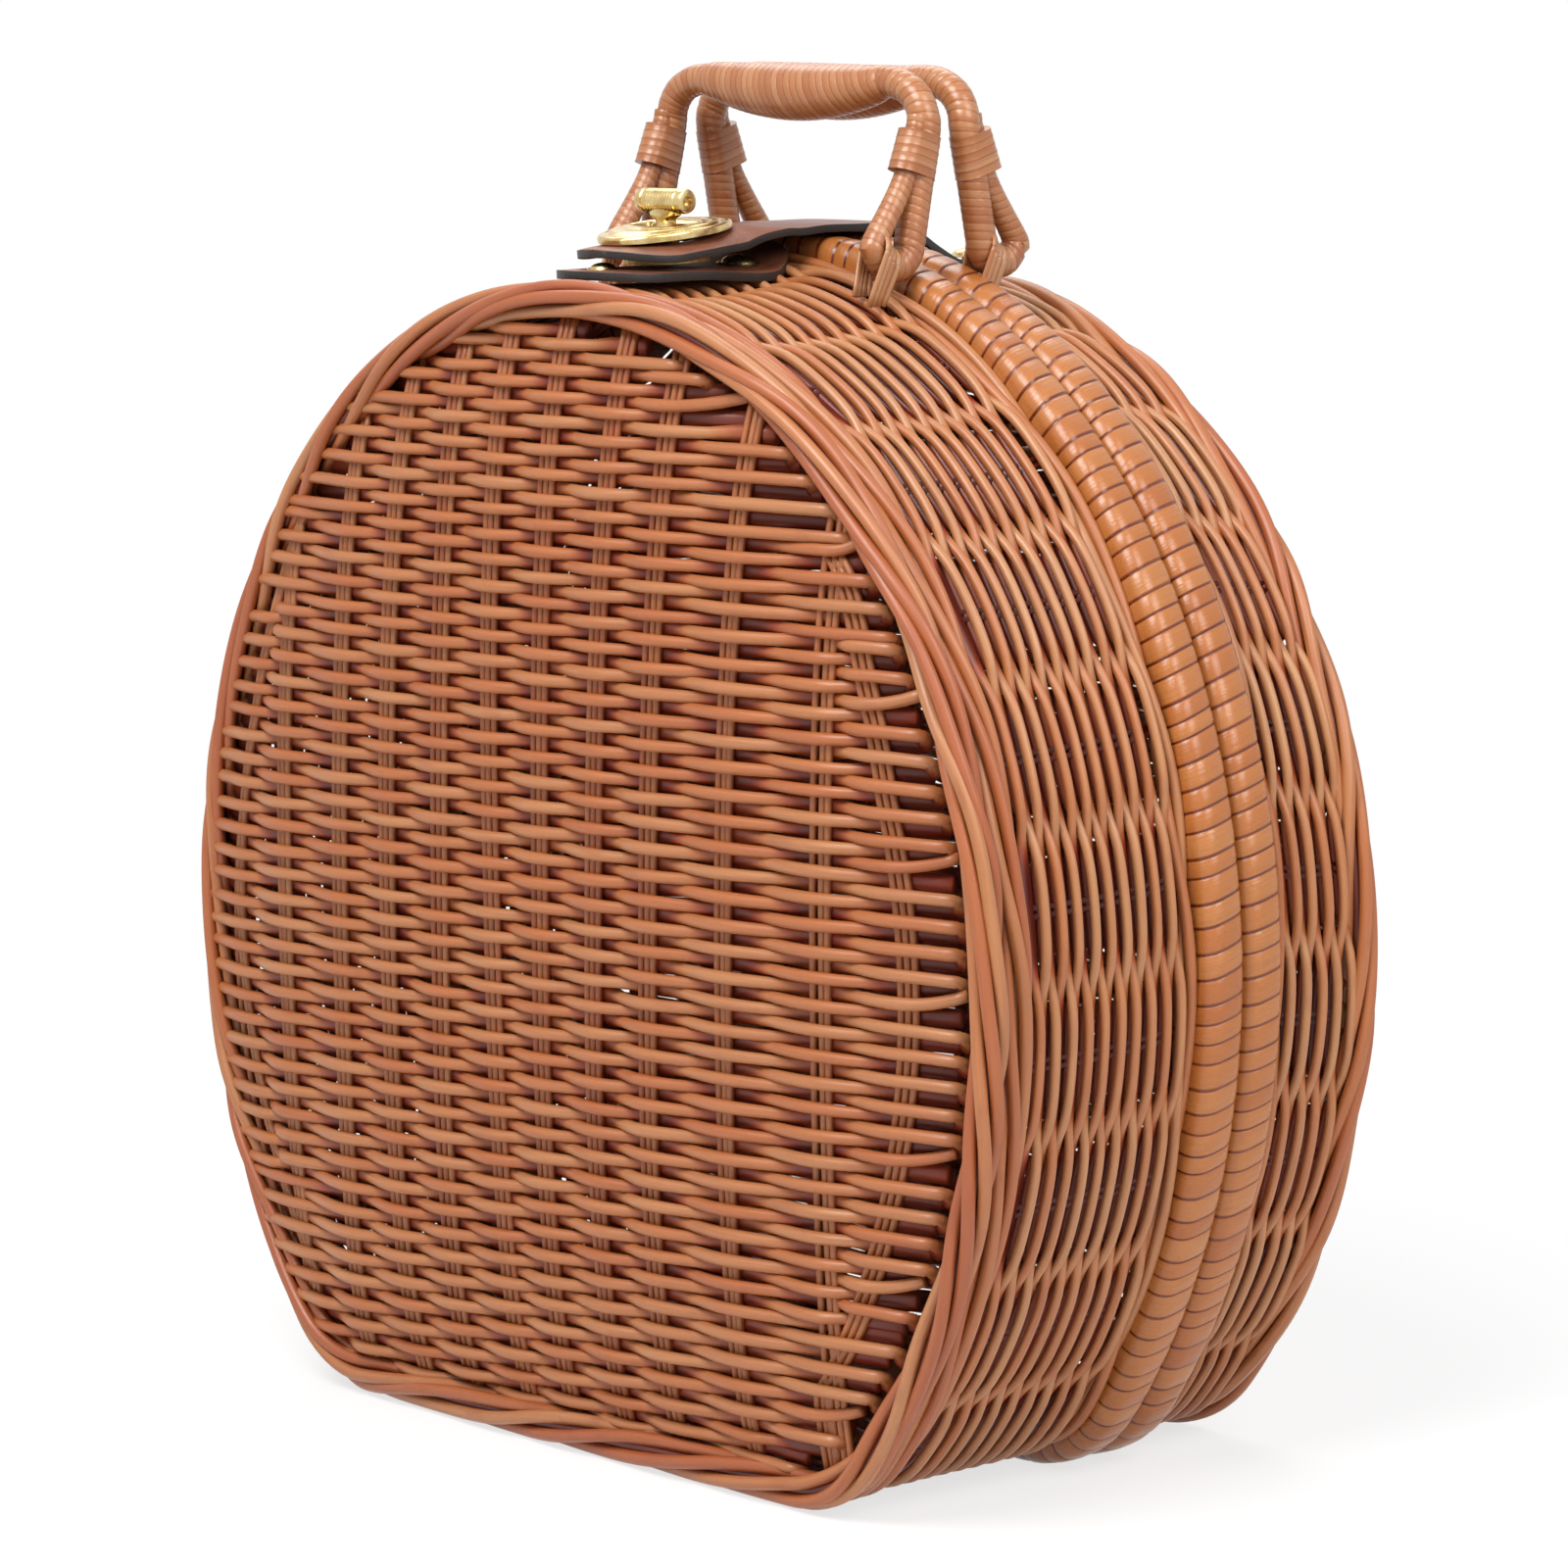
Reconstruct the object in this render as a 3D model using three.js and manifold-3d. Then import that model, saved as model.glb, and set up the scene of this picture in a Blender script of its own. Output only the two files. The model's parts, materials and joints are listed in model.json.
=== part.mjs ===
// Round wicker clamshell case with a flat bottom: a deep base half, a shallow lid half, two swinging handles
// over the seam, and a leather strap with a brass turn lock. Millimetres, +Z up, front panel towards -Y.
import * as THREE from "three";
import { mergeVertices } from "three/addons/utils/BufferGeometryUtils.js";
import Module from "manifold-3d";

// Shell: the outline is an ellipse cut flat at the bottom, with rounded lower corners.
const baseDepth = 90;
const lidDepth = 51;
const widestHeight = 127;
const borderHalfWidth = 150;
const borderTop = 292;
const rimFlare = 2;
const rimRise = 11;
const cornerRadius = 36;
const clearance = 0.3;

// Wrapped rims: a binding of peel over a hoop and over the edge of the wall.
const seamGap = 0.4;
const rimWidth = 13.5;
const rimThickness = 13;
const rimRound = 4;
const peelOuter = 4.4;
const peelInner = 1.6;
const hoopWidth = 6;
const rimProudSide = 5;
const rimProudTop = 7;

// Woven walls, twisted borders and crowned panels.
const wallThickness = 6;
const mouthThickness = 4;
const borderWidth = 13;
const borderThickness = 12;
const borderChamfer = 3.5;
const borderProud = 2;
const panelThickness = 6;
const panelRecess = 3;
const panelCrown = 8;

// Weave of a panel: each row of rods passes over one stake and under the next.
const stakePlaces = [-109, -82, -60, -41, -20.5, -2, 19.5, 38.5, 66, 95];
const edgeStakeInset = 20;
const rowPitch = 3.15;
const firstRow = 9.5;
const rowRise = 0.6;
const rowDip = 2.8;

// Handles: a bent rod with an eye at each foot, a padded grip that hangs below the rod, and bindings.
const rodRadius = 3.5;
const gripRadius = 6.75;
const gripDrop = 7.4;
const gripEndRadius = 4.8;
const gripHalfLength = 33;
const gripGap = 0.5;
const footX = 47;
const footOffset = 18.5;
const footDrop = 1.3;
const handleHeight = 39.5;
const eyeRadius = 6;
const eyeLead = 2;
const cornerX = 46.5;
const legShare = 0.69;
const bindingShare = 0.42;
const rodEndShare = 0.79;
const bindingWall = 0.8;
const lashingThickness = 1.2;
const lashingHalfAngle = 0.36;

// Strap, patch and turn lock.
const strapWidth = 32;
const strapThickness = 3.2;
const strapTipDepth = 75;
const anchorReach = 50.5;
const strapSplit = 14;
const patchRimGap = 2;
const patchEdgeGap = 4.5;
const patchWidth = 32;
const patchThickness = 2.2;
const lockSeatHeight = 4;
const lockSeatRadius = 6.5;
const lockFootRadius = 11;
const lockFootThickness = 1.5;
const bossRadius = 3.2;
const bossHeight = 8.4;
const stemRadius = 1.1;
const stemLength = 4;
const neckRadius = 2.2;
const barrelRadius = 2.65;
const barrelLength = 15.3;
const barrelHeight = 15.7;
const plateLength = 38;
const plateWidth = 27;
const plateThickness = 1.5;
const slotClearance = 1;
const rivetMargin = 11;
const rivetHeadRadius = 4.2;
const rivetHeadHeight = 2;
const rivetShankRadius = 1.7;
const anchorRivetX = 9;
const anchorRivetDepth = 46;

// Hinges, let into flats under the rims.
const hingeX = 60;
const hingeLength = 32;
const hingeAxisHeight = 1.7;
const knuckleRadius = 1.5;
const hingePinRadius = 0.7;
const leafThickness = 0.9;
const leafWidth = 11;
const leafRise = 0.5;
const middleKnuckle = 14;
const nailHeadRadius = 1.8;
const nailHeadHeight = 0.7;
const nailShankRadius = 0.8;
const nailSpacing = 18;
const nailDepth = 7;

const seamY = (baseDepth - lidDepth) / 2;
const rimHalfWidth = borderHalfWidth + rimFlare;
const rimTop = borderTop + rimRise;
const patchLength = baseDepth - patchEdgeGap - rimWidth - patchRimGap;
const lockDepth = rimWidth + patchRimGap + patchLength / 2;
const rivetSpacing = patchLength - 2 * rivetMargin;
const base = { name: "base", side: -1, depth: baseDepth };
const lid = { name: "lid", side: 1, depth: lidDepth };
const halves = [base, lid];
const hands = [["left", -1], ["right", 1]];

const wasm = await Module();
wasm.setup();

const finish = (color, roughness, metalness = 0) =>
  new THREE.MeshStandardMaterial({ color, roughness, metalness });
const weave = finish(0xb9774a, 0.55);
const peel = finish(0xc07a3c, 0.4);
const leather = finish(0x6e4330, 0.6);
const brass = finish(0xd9bb6c, 0.25, 1);

const basket = new THREE.Group();

function addPiece(name, geometry, material, parent = basket) {
  const mesh = new THREE.Mesh(geometry, material);
  mesh.name = name;
  parent.add(mesh);
  return mesh;
}

// A closed surface from vertices and triangles, turned so that its faces point out.
function closedGeometry(vertices, triangles) {
  let volume = 0;
  for (const [a, b, c] of triangles) {
    const [p, q, r] = [vertices[a], vertices[b], vertices[c]];
    volume += p[0] * (q[1] * r[2] - q[2] * r[1]);
    volume += p[1] * (q[2] * r[0] - q[0] * r[2]);
    volume += p[2] * (q[0] * r[1] - q[1] * r[0]);
  }
  const index = volume < 0 ? triangles.map(([a, b, c]) => [a, c, b]) : triangles;
  const geometry = new THREE.BufferGeometry();
  geometry.setAttribute("position", new THREE.Float32BufferAttribute(vertices.flat(), 3));
  geometry.setIndex(index.flat());
  geometry.computeVertexNormals();
  return geometry;
}

function toSolid(geometry) {
  const bare = geometry.clone();
  bare.deleteAttribute("normal");
  bare.deleteAttribute("uv");
  const merged = mergeVertices(bare, 1e-4);
  const vertProperties = merged.attributes.position.array;
  const triVerts = new Uint32Array(merged.index.array);
  return new wasm.Manifold(new wasm.Mesh({ numProp: 3, vertProperties, triVerts }));
}

function toGeometry(solid) {
  const { vertProperties, triVerts } = solid.getMesh();
  const geometry = new THREE.BufferGeometry();
  geometry.setAttribute("position", new THREE.BufferAttribute(new Float32Array(vertProperties), 3));
  geometry.setIndex(new THREE.BufferAttribute(new Uint32Array(triVerts), 1));
  geometry.computeVertexNormals();
  return geometry;
}

const join = (first, ...rest) =>
  toGeometry(rest.reduce((sum, part) => sum.add(toSolid(part)), toSolid(first)));
const cut = (first, ...rest) =>
  toGeometry(rest.reduce((sum, part) => sum.subtract(toSolid(part)), toSolid(first)));

// Loops of equal length, each joined to the next; the ends are capped unless the run closes on itself.
function loftGeometry(loops, closed) {
  const count = loops[0].length;
  const triangles = [];
  const spans = closed ? loops.length : loops.length - 1;
  for (let j = 0; j < spans; j++) {
    const next = (j + 1) % loops.length;
    for (let i = 0; i < count; i++) {
      const k = (i + 1) % count;
      triangles.push([j * count + i, j * count + k, next * count + k]);
      triangles.push([j * count + i, next * count + k, next * count + i]);
    }
  }
  if (!closed) {
    const flat = capOutline(loops[0]);
    const cap = THREE.ShapeUtils.triangulateShape(flat, []);
    const last = (loops.length - 1) * count;
    const forward = THREE.ShapeUtils.area(flat) > 0;
    for (const [a, b, c] of cap) {
      triangles.push(forward ? [a, c, b] : [a, b, c]);
      triangles.push(forward ? [last + a, last + b, last + c] : [last + a, last + c, last + b]);
    }
  }
  return closedGeometry(loops.flat(), triangles);
}

// A planar loop in the two axes of its own plane, with the same turn as the loop has about its normal.
function capOutline(loop) {
  const points = loop.map((p) => new THREE.Vector3(...p));
  const normal = new THREE.Vector3();
  points.forEach((p, i) => normal.add(p.clone().cross(points[(i + 1) % points.length])));
  normal.normalize();
  const across = points[1].clone().sub(points[0]).normalize();
  const up = normal.clone().cross(across);
  return points.map((p) => new THREE.Vector2(p.dot(across), p.dot(up)));
}

// Outline of the case at one depth: an ellipse over the top, a corner arc on each side, a flat bottom.
function outline({ halfWidth, top, bottom, corner }) {
  const ellipseSteps = 28;
  const cornerSteps = 4;
  const halfHeight = top - widestHeight;
  const onEllipse = (t) => [halfWidth * Math.cos(t), widestHeight + halfHeight * Math.sin(t)];
  const normalAngle = (t) => Math.atan2(Math.sin(t) / halfHeight, Math.cos(t) / halfWidth);
  let low = -Math.PI / 2;
  let high = 0;
  for (let n = 0; n < 50; n++) {
    const middle = (low + high) / 2;
    const centreHeight = onEllipse(middle)[1] - corner * Math.sin(normalAngle(middle));
    if (centreHeight > bottom + corner) high = middle;
    else low = middle;
  }
  const start = normalAngle(high);
  const centreX = onEllipse(high)[0] - corner * Math.cos(start);
  const points = [];
  for (let i = 0; i <= ellipseSteps; i++) {
    points.push(onEllipse(high + ((Math.PI - 2 * high) * i) / ellipseSteps));
  }
  const arc = [];
  for (let i = 1; i <= cornerSteps; i++) {
    const angle = start + ((-Math.PI / 2 - start) * i) / cornerSteps;
    arc.push([centreX + corner * Math.cos(angle), bottom + corner + corner * Math.sin(angle)]);
  }
  for (const [x, z] of arc) points.push([-x, z]);
  points.push([0, bottom]);
  for (const [x, z] of arc.reverse()) points.push([x, z]);
  return points;
}

const inset = (edge, t) => ({
  halfWidth: edge.halfWidth - t,
  top: edge.top - t,
  bottom: edge.bottom + t,
  corner: edge.corner - t,
});

const borderEdge = { halfWidth: borderHalfWidth, top: borderTop, bottom: 0, corner: cornerRadius };
const rimEdge = { halfWidth: rimHalfWidth, top: rimTop, bottom: 0, corner: cornerRadius };
const wallAtBorder = inset(borderEdge, borderProud);
const wallAtRim = { ...inset(rimEdge, rimProudSide), top: rimTop - rimProudTop };

const atDepth = (half, d) => seamY + half.side * d;
const wallEnd = (half) => half.depth - borderWidth - clearance;

// A ring that follows the outline, from a list of depth and edge pairs that go round its section.
function ringGeometry(half, section) {
  const loops = section.map(([d, edge]) => outline(edge).map(([x, z]) => [x, atDepth(half, d), z]));
  return loftGeometry(loops, true);
}

// Height of the wall's outer face above a point of the plan, and of a rim or border edge.
function topOf(edge, x) {
  const share = Math.sqrt(1 - (x / edge.halfWidth) ** 2);
  return widestHeight + (edge.top - widestHeight) * share;
}

function wallHeight(half, x, d) {
  const share = THREE.MathUtils.clamp((d - rimWidth) / (wallEnd(half) - rimWidth), 0, 1);
  return THREE.MathUtils.lerp(topOf(wallAtRim, x), topOf(wallAtBorder, x), share);
}

const rimFace = seamGap / 2;
const hoopStart = rimFace + peelInner + clearance;
const wallStart = hoopStart + hoopWidth + clearance;
const leafLow = hingeAxisHeight + leafRise;
const flatHeight = leafLow + leafThickness + clearance;

function boxGeometry(x0, x1, y0, y1, z0, z1) {
  const geometry = new THREE.BoxGeometry(x1 - x0, Math.abs(y1 - y0), z1 - z0);
  return geometry.translate((x0 + x1) / 2, (y0 + y1) / 2, (z0 + z1) / 2);
}

function addShell(half) {
  const { name, depth } = half;
  const inner = inset(wallAtRim, mouthThickness);
  addPiece(name + "_wall", ringGeometry(half, [
    [wallStart, wallAtRim],
    [rimWidth, wallAtRim],
    [wallEnd(half), wallAtBorder],
    [wallEnd(half), inset(wallAtBorder, wallThickness)],
    [rimWidth, inner],
    [wallStart, inner],
  ]), weave);

  const hoopLow = peelOuter + clearance;
  const hoopHigh = rimThickness - peelInner - clearance;
  const hoopBevel = 1.5;
  addPiece(name + "_rim_hoop", ringGeometry(half, [
    [hoopStart + hoopBevel, inset(rimEdge, hoopLow)],
    [hoopStart + hoopWidth - hoopBevel, inset(rimEdge, hoopLow)],
    [hoopStart + hoopWidth, inset(rimEdge, hoopLow + hoopBevel)],
    [hoopStart + hoopWidth, inset(rimEdge, hoopHigh - hoopBevel)],
    [hoopStart + hoopWidth - hoopBevel, inset(rimEdge, hoopHigh)],
    [hoopStart + hoopBevel, inset(rimEdge, hoopHigh)],
    [hoopStart, inset(rimEdge, hoopHigh - hoopBevel)],
    [hoopStart, inset(rimEdge, hoopLow + hoopBevel)],
  ]), weave);

  const easeOut = rimRound * 0.3;
  const binding = ringGeometry(half, [
    [rimWidth, inset(rimEdge, peelOuter)],
    [rimWidth, inset(rimEdge, rimRound)],
    [rimWidth - easeOut, inset(rimEdge, easeOut)],
    [rimWidth - rimRound, rimEdge],
    [rimFace + rimRound, rimEdge],
    [rimFace + easeOut, inset(rimEdge, easeOut)],
    [rimFace, inset(rimEdge, rimRound)],
    [rimFace, inset(rimEdge, rimThickness)],
    [rimWidth, inset(rimEdge, rimThickness)],
    [rimWidth, inset(rimEdge, rimThickness - peelInner)],
    [rimFace + peelInner, inset(rimEdge, rimThickness - peelInner)],
    [rimFace + peelInner, inset(rimEdge, peelOuter)],
  ]);
  const halfFlat = hingeLength / 2 + clearance;
  const flats = hands.map(([, hand]) => boxGeometry(
    hand * hingeX - halfFlat,
    hand * hingeX + halfFlat,
    seamY,
    atDepth(half, leafWidth + clearance),
    -flatHeight,
    flatHeight,
  ));
  addPiece(name + "_rim_binding", cut(binding, ...flats), peel);

  const near = depth - borderWidth;
  addPiece(name + "_border", ringGeometry(half, [
    [near + borderChamfer, borderEdge],
    [depth - borderChamfer, borderEdge],
    [depth, inset(borderEdge, borderChamfer)],
    [depth, inset(borderEdge, borderThickness - borderChamfer)],
    [depth - borderChamfer, inset(borderEdge, borderThickness)],
    [near + borderChamfer, inset(borderEdge, borderThickness)],
    [near, inset(borderEdge, borderThickness - borderChamfer)],
    [near, inset(borderEdge, borderChamfer)],
  ]), weave);
  addPanel(half);
}

// A plate inside the border that swells outwards towards its middle, with the rows of its weave in relief.
function addPanel(half) {
  const edge = outline(inset(borderEdge, borderThickness + clearance));
  const middleHeight = borderTop / 2;
  const shares = [1, 0.82, 0.58, 0.3];
  const outer = half.depth - panelRecess + panelThickness;
  const loopAt = (share, d) => edge.map(([x, z]) => [
    x * share,
    atDepth(half, d + panelCrown * (1 - share ** 3)),
    middleHeight + (z - middleHeight) * share,
  ]);
  const loops = shares.map((share) => loopAt(share, outer)).reverse();
  const inner = half.depth - panelRecess - panelThickness;
  loops.push(...shares.map((share) => loopAt(share, inner)));
  const count = edge.length;
  const vertices = loops.flat();
  const triangles = [];
  for (let j = 0; j < loops.length - 1; j++) {
    for (let i = 0; i < count; i++) {
      const k = (i + 1) % count;
      triangles.push([j * count + i, j * count + k, (j + 1) * count + k]);
      triangles.push([j * count + i, (j + 1) * count + k, (j + 1) * count + i]);
    }
  }
  const crowns = [[0, outer], [loops.length - 1, inner]];
  crowns.forEach(([loop, d], end) => {
    const middle = vertices.push([0, atDepth(half, d + panelCrown), middleHeight]) - 1;
    for (let i = 0; i < count; i++) {
      const [a, b] = [loop * count + i, loop * count + ((i + 1) % count)];
      triangles.push(end ? [middle, a, b] : [middle, b, a]);
    }
  });
  const plate = closedGeometry(vertices, triangles);
  addPiece(half.name + "_panel", cut(plate, aboveWeave(half, edge, middleHeight)), weave);
}

// The space in front of a woven face: a grid of stakes and rows, high where a row passes over a stake and
// low where it passes under, closed by a point far in front.
function aboveWeave(half, edge, middleHeight) {
  const pointDepth = 1000;
  const edgeStake = borderHalfWidth - edgeStakeInset;
  const stakes = stakePlaces.map((x) => -half.side * x).sort((a, b) => a - b);
  const columns = [-borderHalfWidth, -edgeStake, ...stakes, edgeStake, borderHalfWidth];
  const rowCount = Math.ceil((borderTop - firstRow) / rowPitch);
  const rows = Array.from({ length: rowCount + 1 }, (_, row) => firstRow + row * rowPitch);
  const face = half.depth - panelRecess;
  const spokes = edge.map(([x, z]) => [Math.atan2(z - middleHeight, x), Math.hypot(x, z - middleHeight)]);
  spokes.sort((a, b) => a[0] - b[0]);
  const crownAt = (x, z) => {
    const angle = Math.atan2(z - middleHeight, x);
    const after = spokes.findIndex(([spoke]) => spoke > angle);
    const [a1, r1] = spokes[Math.max(after, 0)];
    const [a0, r0] = spokes.at(after - 1);
    const turn = (a, b) => (a - b + 2 * Math.PI) % (2 * Math.PI);
    const reach = THREE.MathUtils.lerp(r0, r1, turn(angle, a0) / turn(a1, a0));
    return panelCrown * (1 - Math.min(Math.hypot(x, z - middleHeight) / reach, 1) ** 3);
  };
  const width = columns.length;
  const isOver = (row, column) => (THREE.MathUtils.clamp(column, 1, width - 2) + row) % 2 === 0;
  const vertices = [];
  rows.forEach((z, row) => columns.forEach((x, column) => {
    const relief = isOver(row, column) ? rowRise : -rowDip;
    vertices.push([x, atDepth(half, face + crownAt(x, z) + relief), z]);
  }));
  const triangles = [];
  for (let row = 0; row < rowCount; row++) {
    for (let column = 0; column < width - 1; column++) {
      const a = row * width + column;
      const [b, c, d] = [a + 1, a + width + 1, a + width];
      if (isOver(row, column)) triangles.push([a, b, d], [b, c, d]);
      else triangles.push([a, b, c], [a, c, d]);
    }
  }
  const far = vertices.push([0, atDepth(half, pointDepth), middleHeight]) - 1;
  const along = (from, step, count) => Array.from({ length: count }, (_, i) => from + i * step);
  const corner = rowCount * width;
  const rim = [
    ...along(0, 1, width - 1),
    ...along(width - 1, width, rowCount),
    ...along(corner + width - 1, -1, width - 1),
    ...along(corner, -width, rowCount),
  ];
  rim.forEach((a, i) => triangles.push([rim[(i + 1) % rim.length], a, far]));
  return closedGeometry(vertices, triangles);
}

// A round rod along a path of points, with flat ends.
function rodGeometry(path, radius, sides) {
  const points = path.map((p) => new THREE.Vector3(...p));
  const along = points.map((p, i) => {
    const before = points[Math.max(i - 1, 0)];
    const after = points[Math.min(i + 1, points.length - 1)];
    return after.clone().sub(before).normalize();
  });
  const across = new THREE.Vector3(1, 0, 0).cross(along[0]).normalize();
  const loops = points.map((p, i) => {
    across.addScaledVector(along[i], -across.dot(along[i])).normalize();
    const up = along[i].clone().cross(across);
    return Array.from({ length: sides }, (_, k) => {
      const angle = (2 * Math.PI * (k + 0.5)) / sides;
      const rim = p.clone().addScaledVector(across, radius * Math.cos(angle));
      return rim.addScaledVector(up, radius * Math.sin(angle)).toArray();
    });
  });
  return loftGeometry(loops, false);
}

const footHeight = rimTop - footDrop;
const gripHeight = footHeight + handleHeight;
const legHeight = legShare * handleHeight;
const bindingLow = bindingShare * handleHeight;
const rodEndHeight = rodEndShare * handleHeight;
const gripOffset = gripRadius + gripGap / 2;
const strandPitch = 2 * rodRadius + 2 * clearance;
const legOffset = footOffset - eyeRadius;

// A point of a handle's right leg at a height above its foot: across, out from the seam, and up.
function legPoint(rise) {
  const share = rise / legHeight;
  const lean = rise / handleHeight;
  return [
    THREE.MathUtils.lerp(footX, cornerX, lean),
    THREE.MathUtils.lerp(legOffset, gripOffset, share),
    footHeight + rise,
  ];
}

const strandPoint = (rise) => {
  const [x, out, z] = legPoint(rise);
  return [x, out + strandPitch, z];
};

function rightRodPath() {
  const eyeSteps = 8;
  const cornerSteps = 5;
  const path = [strandPoint(rodEndHeight), strandPoint(bindingLow - eyeLead)];
  for (let i = 0; i <= eyeSteps; i++) {
    const angle = (-Math.PI * i) / eyeSteps;
    const out = footOffset + eyeRadius * Math.cos(angle);
    path.push([footX, out, footHeight + eyeRadius * Math.sin(angle)]);
  }
  path.push(legPoint(bindingLow - eyeLead));
  const bend = new THREE.QuadraticBezierCurve3(
    new THREE.Vector3(...legPoint(legHeight)),
    new THREE.Vector3(cornerX, gripOffset, gripHeight),
    new THREE.Vector3(gripHalfLength, gripOffset, gripHeight),
  );
  for (const p of bend.getPoints(cornerSteps)) path.push(p.toArray());
  return path;
}

function addHandle(half) {
  const name = half === base ? "front_handle" : "back_handle";
  const place = ([x, out, z], hand = 1) => [hand * x, atDepth(half, out), z];
  const right = rightRodPath();
  const left = [...right].reverse();
  const path = [...right.map((p) => place(p)), ...left.map((p) => place(p, -1))];
  addPiece(name + "_core", rodGeometry(path, rodRadius, 8), peel);

  const gripSteps = 8;
  const gripSides = 16;
  const gripTop = gripHeight + gripEndRadius;
  const gripLoops = Array.from({ length: gripSteps + 1 }, (_, i) => {
    const t = i / gripSteps;
    const swell = Math.sin(Math.PI * t);
    const across = THREE.MathUtils.lerp(gripEndRadius, gripRadius, swell);
    const down = THREE.MathUtils.lerp(gripEndRadius, gripDrop, swell);
    return Array.from({ length: gripSides }, (_, k) => {
      const angle = (2 * Math.PI * k) / gripSides;
      const out = gripOffset + across * Math.cos(angle);
      const height = gripTop - down + down * Math.sin(angle);
      return [THREE.MathUtils.lerp(-gripHalfLength, gripHalfLength, t), atDepth(half, out), height];
    });
  });
  const rodHole = new THREE.CylinderGeometry(
    rodRadius + clearance,
    rodRadius + clearance,
    4 * gripHalfLength,
    16,
  );
  rodHole.rotateZ(Math.PI / 2).translate(0, atDepth(half, gripOffset), gripHeight);
  const grip = cut(loftGeometry(gripLoops, false), rodHole);
  addPiece(name + "_grip", grip, peel);

  for (const [word, hand] of hands) {
    const low = new THREE.Vector3(...place(legPoint(bindingLow), hand));
    const high = new THREE.Vector3(...place(legPoint(legHeight - 2 * clearance), hand));
    const middle = new THREE.Vector3(...place(strandPoint(bindingLow), hand)).add(low).multiplyScalar(0.5);
    const along = high.clone().sub(low);
    const outward = new THREE.Vector3(0, half.side, 0);
    outward.addScaledVector(along, (-half.side * along.y) / along.lengthSq()).normalize();
    const sideways = outward.clone().cross(along.clone().normalize());
    const hole = stadium(strandPitch / 2, rodRadius + clearance);
    const shape = new THREE.Shape(stadium(strandPitch / 2, rodRadius + clearance + bindingWall));
    shape.holes.push(new THREE.Path(hole));
    const sleeve = new THREE.ExtrudeGeometry(shape, { depth: along.length(), steps: 1, bevelEnabled: false });
    const turn = new THREE.Matrix4().makeBasis(outward, sideways.negate(), along.clone().normalize());
    sleeve.applyMatrix4(turn.setPosition(middle));
    addPiece(name + "_binding_" + word, sleeve, peel);
    addLashing(half, word, hand);
  }
}

// A stadium outline, long along its first axis.
function stadium(halfGap, radius) {
  const steps = 6;
  const points = [];
  for (const end of [1, -1]) {
    for (let i = 0; i <= steps; i++) {
      const angle = (Math.PI * i) / steps - Math.PI / 2;
      const along = halfGap + radius * Math.cos(angle);
      points.push(new THREE.Vector2(end * along, end * radius * Math.sin(angle)));
    }
  }
  return points;
}

// A saddle of cane over the bottom of a handle's eye, down to the wall on both sides of the rod.
function addLashing(half, word, hand) {
  const arcSteps = 6;
  const angleSteps = 4;
  const innerRadius = rodRadius + clearance;
  const outerRadius = innerRadius + lashingThickness;
  const reach = (x) => {
    const heights = [-1, 0, 1].map((n) => wallHeight(half, x, footOffset + n * eyeRadius));
    return footHeight - Math.max(...heights) - clearance;
  };
  const section = [];
  section.push([-outerRadius, reach(footX - outerRadius)]);
  for (let i = 0; i <= arcSteps; i++) {
    const angle = Math.PI + (Math.PI * i) / arcSteps;
    section.push([outerRadius * Math.cos(angle), eyeRadius + outerRadius * Math.sin(angle)]);
  }
  section.push([outerRadius, reach(footX)]);
  section.push([innerRadius, reach(footX)]);
  for (let i = arcSteps; i >= 0; i--) {
    const angle = Math.PI + (Math.PI * i) / arcSteps;
    section.push([innerRadius * Math.cos(angle), eyeRadius + innerRadius * Math.sin(angle)]);
  }
  section.push([-innerRadius, reach(footX - outerRadius)]);
  const loops = [];
  for (let n = 0; n <= angleSteps; n++) {
    const angle = lashingHalfAngle * ((2 * n) / angleSteps - 1);
    loops.push(section.map(([x, radial]) => [
      hand * (footX + x),
      atDepth(half, footOffset + radial * Math.sin(angle)),
      footHeight - radial * Math.cos(angle),
    ]));
  }
  const side = half === base ? "front" : "back";
  addPiece(side + "_lashing_" + word, loftGeometry(loops, false), peel);
}

// A flat band along a path of [depth, height of its underside, half width], with depth measured from the seam.
function bandGeometry(path, thickness) {
  const loops = path.map(([d, z, halfWidth], i) => {
    const [d0, z0] = path[Math.max(i - 1, 0)];
    const [d1, z1] = path[Math.min(i + 1, path.length - 1)];
    const length = Math.hypot(d1 - d0, z1 - z0);
    const [outD, outZ] = [(-(z1 - z0) / length) * thickness, ((d1 - d0) / length) * thickness];
    const y = atDepth(base, d);
    const yTop = atDepth(base, d + outD);
    return [
      [-halfWidth, y, z],
      [halfWidth, y, z],
      [halfWidth, yTop, z + outZ],
      [-halfWidth, yTop, z + outZ],
    ];
  });
  return loftGeometry(loops, false);
}

// Depths and half widths of a half-round end of a band.
function roundEnd(tipDepth, halfWidth, direction) {
  const steps = 6;
  return Array.from({ length: steps }, (_, i) => {
    const angle = (Math.PI / 2) * ((i + 0.5) / steps);
    return [tipDepth - direction * halfWidth * (1 - Math.sin(angle)), halfWidth * Math.cos(angle)];
  });
}

// The patch lies from the wall beside the rim to the top of the border.
const patchTilt = Math.atan((wallAtRim.top - borderTop) / (baseDepth - borderChamfer - rimWidth));
const patchLow = (d) => wallAtRim.top + clearance - (d - rimWidth) * Math.tan(patchTilt);
const patchTop = patchLow(lockDepth) + patchThickness / Math.cos(patchTilt);
const strapLow = patchTop + (lockSeatHeight + clearance) / Math.cos(patchTilt);
const strapOverRim = rimTop + clearance;

const lock = new THREE.Group();
lock.position.set(0, atDepth(base, lockDepth), patchTop);
lock.rotation.x = patchTilt;
basket.add(lock);

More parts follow.
